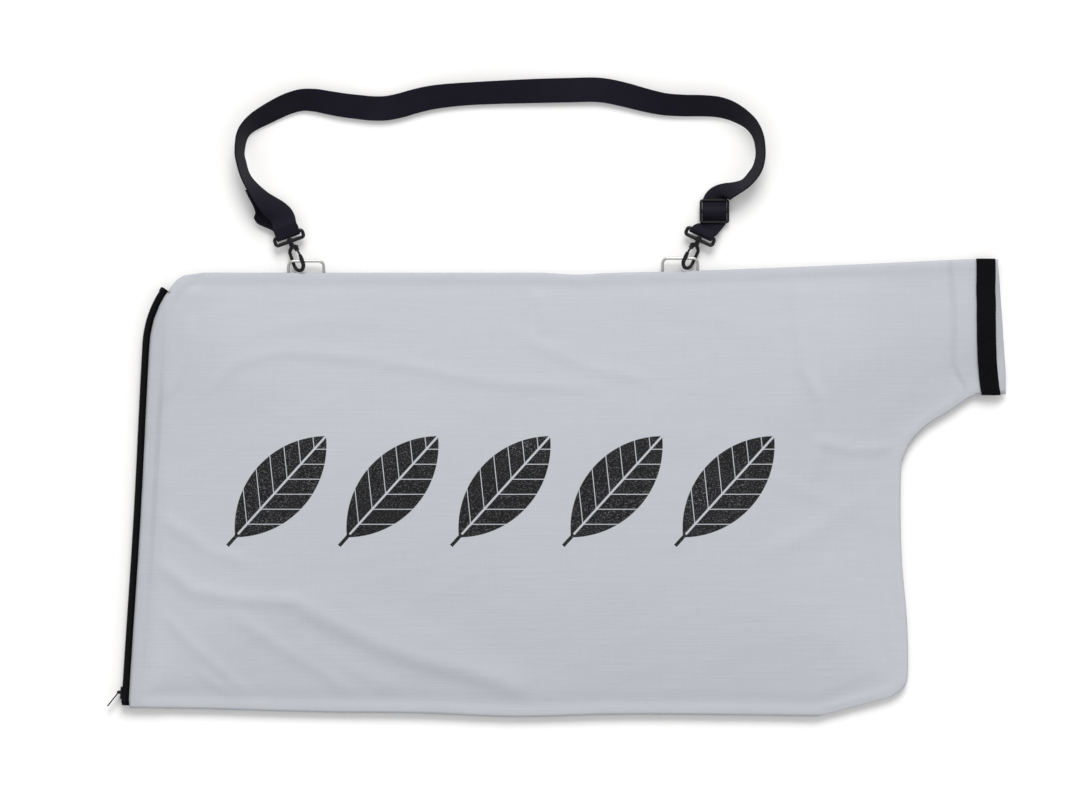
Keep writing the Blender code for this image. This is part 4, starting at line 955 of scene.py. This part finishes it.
# x and y from the slide's top bar, the rise over the way under it, and the roll in radians
SLIDE_APPROACH = ((0.0105, 0.0082, 0.0046, 0.65), (0.0030, 0.0042, 0.0004, 0.12), (0.0, 0.0, 0.0, 0.0))


def oriented(points, sides):
    """Stations of (centre, way across, way up) for a band through points."""
    sides = unit(sides)
    return list(zip(points, sides, unit(np.cross(np.gradient(points, axis=0), sides))))


def hook_axes(spot, tilt):
    """The way from a hook back to its webbing, and the middle of the bar that the webbing goes round."""
    away = Vector((-math.sin(tilt), math.cos(tilt), 0))
    return away, spot + away * EYE_SPACING


def round_bar(bar, first, second, radius):
    """Half a turn round a bar, from the first way through the second, both square to the bar."""
    turns = [math.pi * i / 8 for i in range(9)]
    return [bar + (first * math.cos(turn) + second * math.sin(turn)) * radius for turn in turns]


def strap_run():
    """The loose run from the left hook to the slide, rolled on edge at its bends."""
    away, bar = hook_axes(HOOK_LEFT, TILT_LEFT)
    way = [(*(bar + away * 0.009 + UP * (EYE_TURN + 0.001)), 0.0),
           (*(bar + away * 0.022 + UP * (EYE_TURN - 0.0010)), 0.10)]
    for i, (x, y, degrees) in enumerate(STRAP_WAY):
        roll = math.radians(degrees)
        lie = FLOOR_GAP + WEBBING_WIDTH / 2 * math.sin(roll) + WEBBING / 2 * math.cos(roll)
        doubled = 1 - smooth((i - 2) / 2)
        arch = 0.0035 * (1 - roll / 1.25) * smooth((i - 4) / 3)
        way.append((x, TOP + y, lie + arch + PLY * doubled + (0.004 if i == 0 else 0), roll))
    low = SLIDE.z - SLIDE_WIRE - GAP - WEBBING / 2
    for x, y, rise, roll in SLIDE_APPROACH:
        way.append((SLIDE.x + x, SLIDE.y + SLIDE_SPACING + y, low + rise, roll))
    run = spline(way, 3)
    heading = np.gradient(run[:, :3], axis=0)
    flat = unit(np.column_stack([-heading[:, 1], heading[:, 0], np.zeros(len(run))]))
    count = np.arange(len(run))
    near_left = (1 - smooth(count / 7))[:, None]
    near_right = smooth((count - len(run) + 9) / 7)[:, None]
    flat = unit(flat * (1 - near_left) + np.array(UP.cross(away)) * near_left)
    flat = unit(flat * (1 - near_right) + np.array((1, 0, 0)) * near_right)
    roll = run[:, 3:]
    return oriented(run[:, :3], flat * np.cos(roll) + np.array(UP) * np.sin(roll))


def strap_left_end(main):
    """The sewn end: back under the first stretch of the run, and round the left eye."""
    away, bar = hook_axes(HOOK_LEFT, TILT_LEFT)
    side = np.array(UP.cross(away))
    back, travelled, before = [], 0.0, main[0][0]
    for centre, across, up in main:
        travelled += np.linalg.norm(centre - before)
        before = centre
        if travelled > DOUBLED_LENGTH:
            break
        t = travelled / DOUBLED_LENGTH
        below = PLY + PLY_SPREAD * math.sin(math.pi * t) ** 2
        below += (2 * EYE_TURN + 0.001 - PLY) * (1 - smooth(t * 3))
        splay = PLY_SPLAY * smooth(t / 0.16) * (1 - smooth((t - 0.22) / 0.42))
        back.append((centre - up * below - np.array((splay, 0, 0)), across))
    return back[::-1] + [(np.array(p), side) for p in round_bar(bar, -UP, -away, EYE_TURN)]


def strap_right_end():
    """Over the slide's middle bar, under its lower one, round the right eye, and back to the middle bar."""
    under = SLIDE_WIRE + GAP + WEBBING / 2
    over = under + PLY
    away, bar = hook_axes(HOOK_RIGHT, TILT_RIGHT)
    side, flat = UP.cross(away), Vector((1, 0, 0))
    side = side if side.x > 0 else -side
    result = []
    for y, z in ((0.0078, -under * 0.25), (0.0040, over * 0.68), (0, over), (-0.0040, over * 0.68),
                 (-0.0078, -under * 0.25), (-SLIDE_SPACING, -under)):
        result.append((SLIDE + Vector((0, y, z)), flat))
    foot = SLIDE - Vector((0, SLIDE_SPACING, 0))
    for t in (0.3, 0.5, 0.7):
        part = float(smooth((t - 0.2) / 0.5))
        rise = EYE_TURN * part - under * (1 - part)
        result.append((foot + (bar - foot) * t + UP * rise, flat.lerp(side, part)))
    result += [(p, side) for p in round_bar(bar, UP, -away, EYE_TURN)]
    for t in (0.7, 0.4):
        part = float(smooth(t / 0.7))
        drop = -(under + PLY) * (1 - part) - EYE_TURN * part
        result.append((foot + (bar - foot) * t + UP * drop, flat.lerp(side, part)))
    result.append((foot - UP * (under + PLY), flat))
    result.append((SLIDE + Vector((0, -0.0060, -under - PLY * 0.65)), flat))
    result += [(p, flat) for p in round_bar(SLIDE, -UP, Vector((0, 1, 0)), under)]
    return [(np.array(p), np.array(way)) for p, way in result]


main_run = strap_run()
strap_stations = strap_left_end(main_run) + [(c, s) for c, s, _ in main_run] + strap_right_end()
fine = spline([(*c, *s) for c, s in strap_stations], 5)
edge = [(math.cos(a) * WEBBING * 0.5 + WEBBING_WIDTH / 2 - WEBBING * 0.5, math.sin(a) * WEBBING * 0.5)
        for a in np.linspace(-math.pi / 2, math.pi / 2, 7)]
flats = np.linspace(-1, 1, 15)[1:-1] * (WEBBING_WIDTH / 2 - WEBBING * 0.5)
webbing_profile = ([(x, -WEBBING / 2) for x in flats] + edge + [(x, WEBBING / 2) for x in flats[::-1]]
                   + [(-x, -z) for x, z in edge])
strap = swept("webbing_strap", oriented(fine[:, :3], fine[:, 3:]), webbing_profile)


def webbing_finish(name, places):
    """Black polyester webbing: flat ribs along it, crossed by the weft, and shinier than the cloth. Its
    colour is painted lighter on the raised threads and darker, as painted shade, in the hollows between them.
    """
    web = Finish(name, {"Specular IOR Level": 0.09})
    place = web.node("ShaderNodeTexCoord", output=places)
    along, around, _ = web.split(place)
    rib = web.math("PINGPONG", around, WEB_RIB) * (1 / WEB_RIB)
    step = web.math("PINGPONG", around, WEB_PICK) * 0.5
    pick = web.math("SINE", (along + step) * (2 * math.pi / WEB_PICK)) * 0.5 + 0.5
    fibres = web.noise((900, 5200, 900), at=place)
    worn = web.noise((45, 45, 45), 3.0)
    raised_and_lit = pick * rib
    # Painted shade: darker in the weave's hollows and lighter on its raised threads, with random wear mixed
    # in.
    web.paint(raised_and_lit * 0.6 + worn * 0.4, (0.0040, 0.0036, 0.0072), (0.0155, 0.0143, 0.0255))
    web.set("Roughness", 0.62 - raised_and_lit * 0.12)
    web.bump(raised_and_lit + fibres * 0.3, 0.00022, 0.8)
    return web.material


black_webbing = webbing_finish("black_webbing", BY_UV)
strap.data.materials.append(black_webbing)
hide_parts("strap")
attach(strap, "bag")

# The fittings: die-cast hooks and eyes in black enamel, nickel wire rings in tabs of webbing, a moulded
# slide, and the zip's slider, tab and stops. Each is remade from its solid in even squares and eased. A row
# gives its node, its body, the size of the squares, the smoothing passes and its slot.
PAIRS = (
    ("hook_body", "hook", 0.00024, 8, "black_metal"), ("swivel_eye", "bag", 0.00028, 8, "black_metal"),
    ("hook_gate", "gate", 0.00018, 5, "black_metal"), ("gate_pin", "hook", 0.00012, 4, "black_metal"),
    ("d_ring", "bag", 0.00028, 12, "nickel"), ("ring_tab", "bag", 0.00050, 3, "black_cloth"),
)
SINGLES = (
    ("slide_adjuster", "bag", 0.00026, 8, "black_plastic"),
    ("zip_slider", "zip_slider", 0.00018, 4, "black_metal"),
    ("zip_pull_tab", "zip_pull_tab", 0.00014, 4, "black_metal"),
    ("zip_stop_front", "bag", 0.00014, 3, "black_plastic"),
    ("zip_stop_back", "bag", 0.00014, 3, "black_plastic"),
    ("zip_box", "bag", 0.00014, 3, "black_plastic"),
)
SWELL = 0.000012
METAL_ROUGHNESS = 0.26


def eased(node, body, square, passes):
    """A finer copy of a solid, its edges rounded by smoothing passes, which shrink it, and swelled back."""
    copy = placed(node + "_finished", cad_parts[node].data.copy())
    work = bmesh.new()
    work.from_mesh(copy.data)
    bmesh.ops.remove_doubles(work, verts=work.verts, dist=0.000002)
    work.to_mesh(copy.data)
    work.free()
    remade = copy.modifiers.new("even squares", "REMESH")
    remade.mode = "VOXEL"
    remade.voxel_size = square
    soft = copy.modifiers.new("eased", "SMOOTH")
    soft.iterations = passes
    mesh = bpy.data.meshes.new_from_object(copy.evaluated_get(bpy.context.evaluated_depsgraph_get()))
    copy.modifiers.clear()
    copy.data = mesh
    places, normals = (np.empty(len(mesh.vertices) * 3) for _ in range(2))
    mesh.vertices.foreach_get("co", places)
    mesh.vertices.foreach_get("normal", normals)
    mesh.vertices.foreach_set("co", places + normals * passes * SWELL)
    mesh.shade_smooth()
    mesh.materials.clear()
    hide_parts(node)
    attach(copy, body)
    return copy


def metal_finish(name, dark, light, metallic, coat):
    """Cast or drawn metal: patches of handling in its gloss, and fine random scratches."""
    metal = Finish(name, {
        "Metallic": metallic, "Coat Weight": coat, "Coat Roughness": 0.12, "Specular IOR Level": 0.14,
    })
    worn = metal.noise((140, 140, 140), 3.0)
    scratch = metal.noise((300, 4200, 900))
    metal.paint(worn, dark, light)
    metal.set("Roughness", worn * 0.18 + METAL_ROUGHNESS)
    metal.bump(scratch * 0.5 + worn, 0.00003, 0.5)
    return metal.material


finishes = {
    "black_metal": metal_finish("black_enamel", (0.005, 0.005, 0.006), (0.014, 0.014, 0.017), 0.0, 0.10),
    "nickel": metal_finish("bright_nickel", (0.50, 0.50, 0.49), (0.66, 0.66, 0.65), 1.0, 0.0),
    "black_plastic": plastic_finish("slide_plastic", 0.006, 0.30),
    "black_cloth": webbing_finish("tab_webbing", BY_PLACE),
}
fittings = [(node + hand, body if body == "bag" else body + hand, *rest)
            for node, body, *rest in PAIRS for hand in ("_left", "_right")]
for node, body, square, passes, kind in (*fittings, *SINGLES):
    piece = eased(node, body, square, passes)
    piece.data.materials.append(finishes[kind])
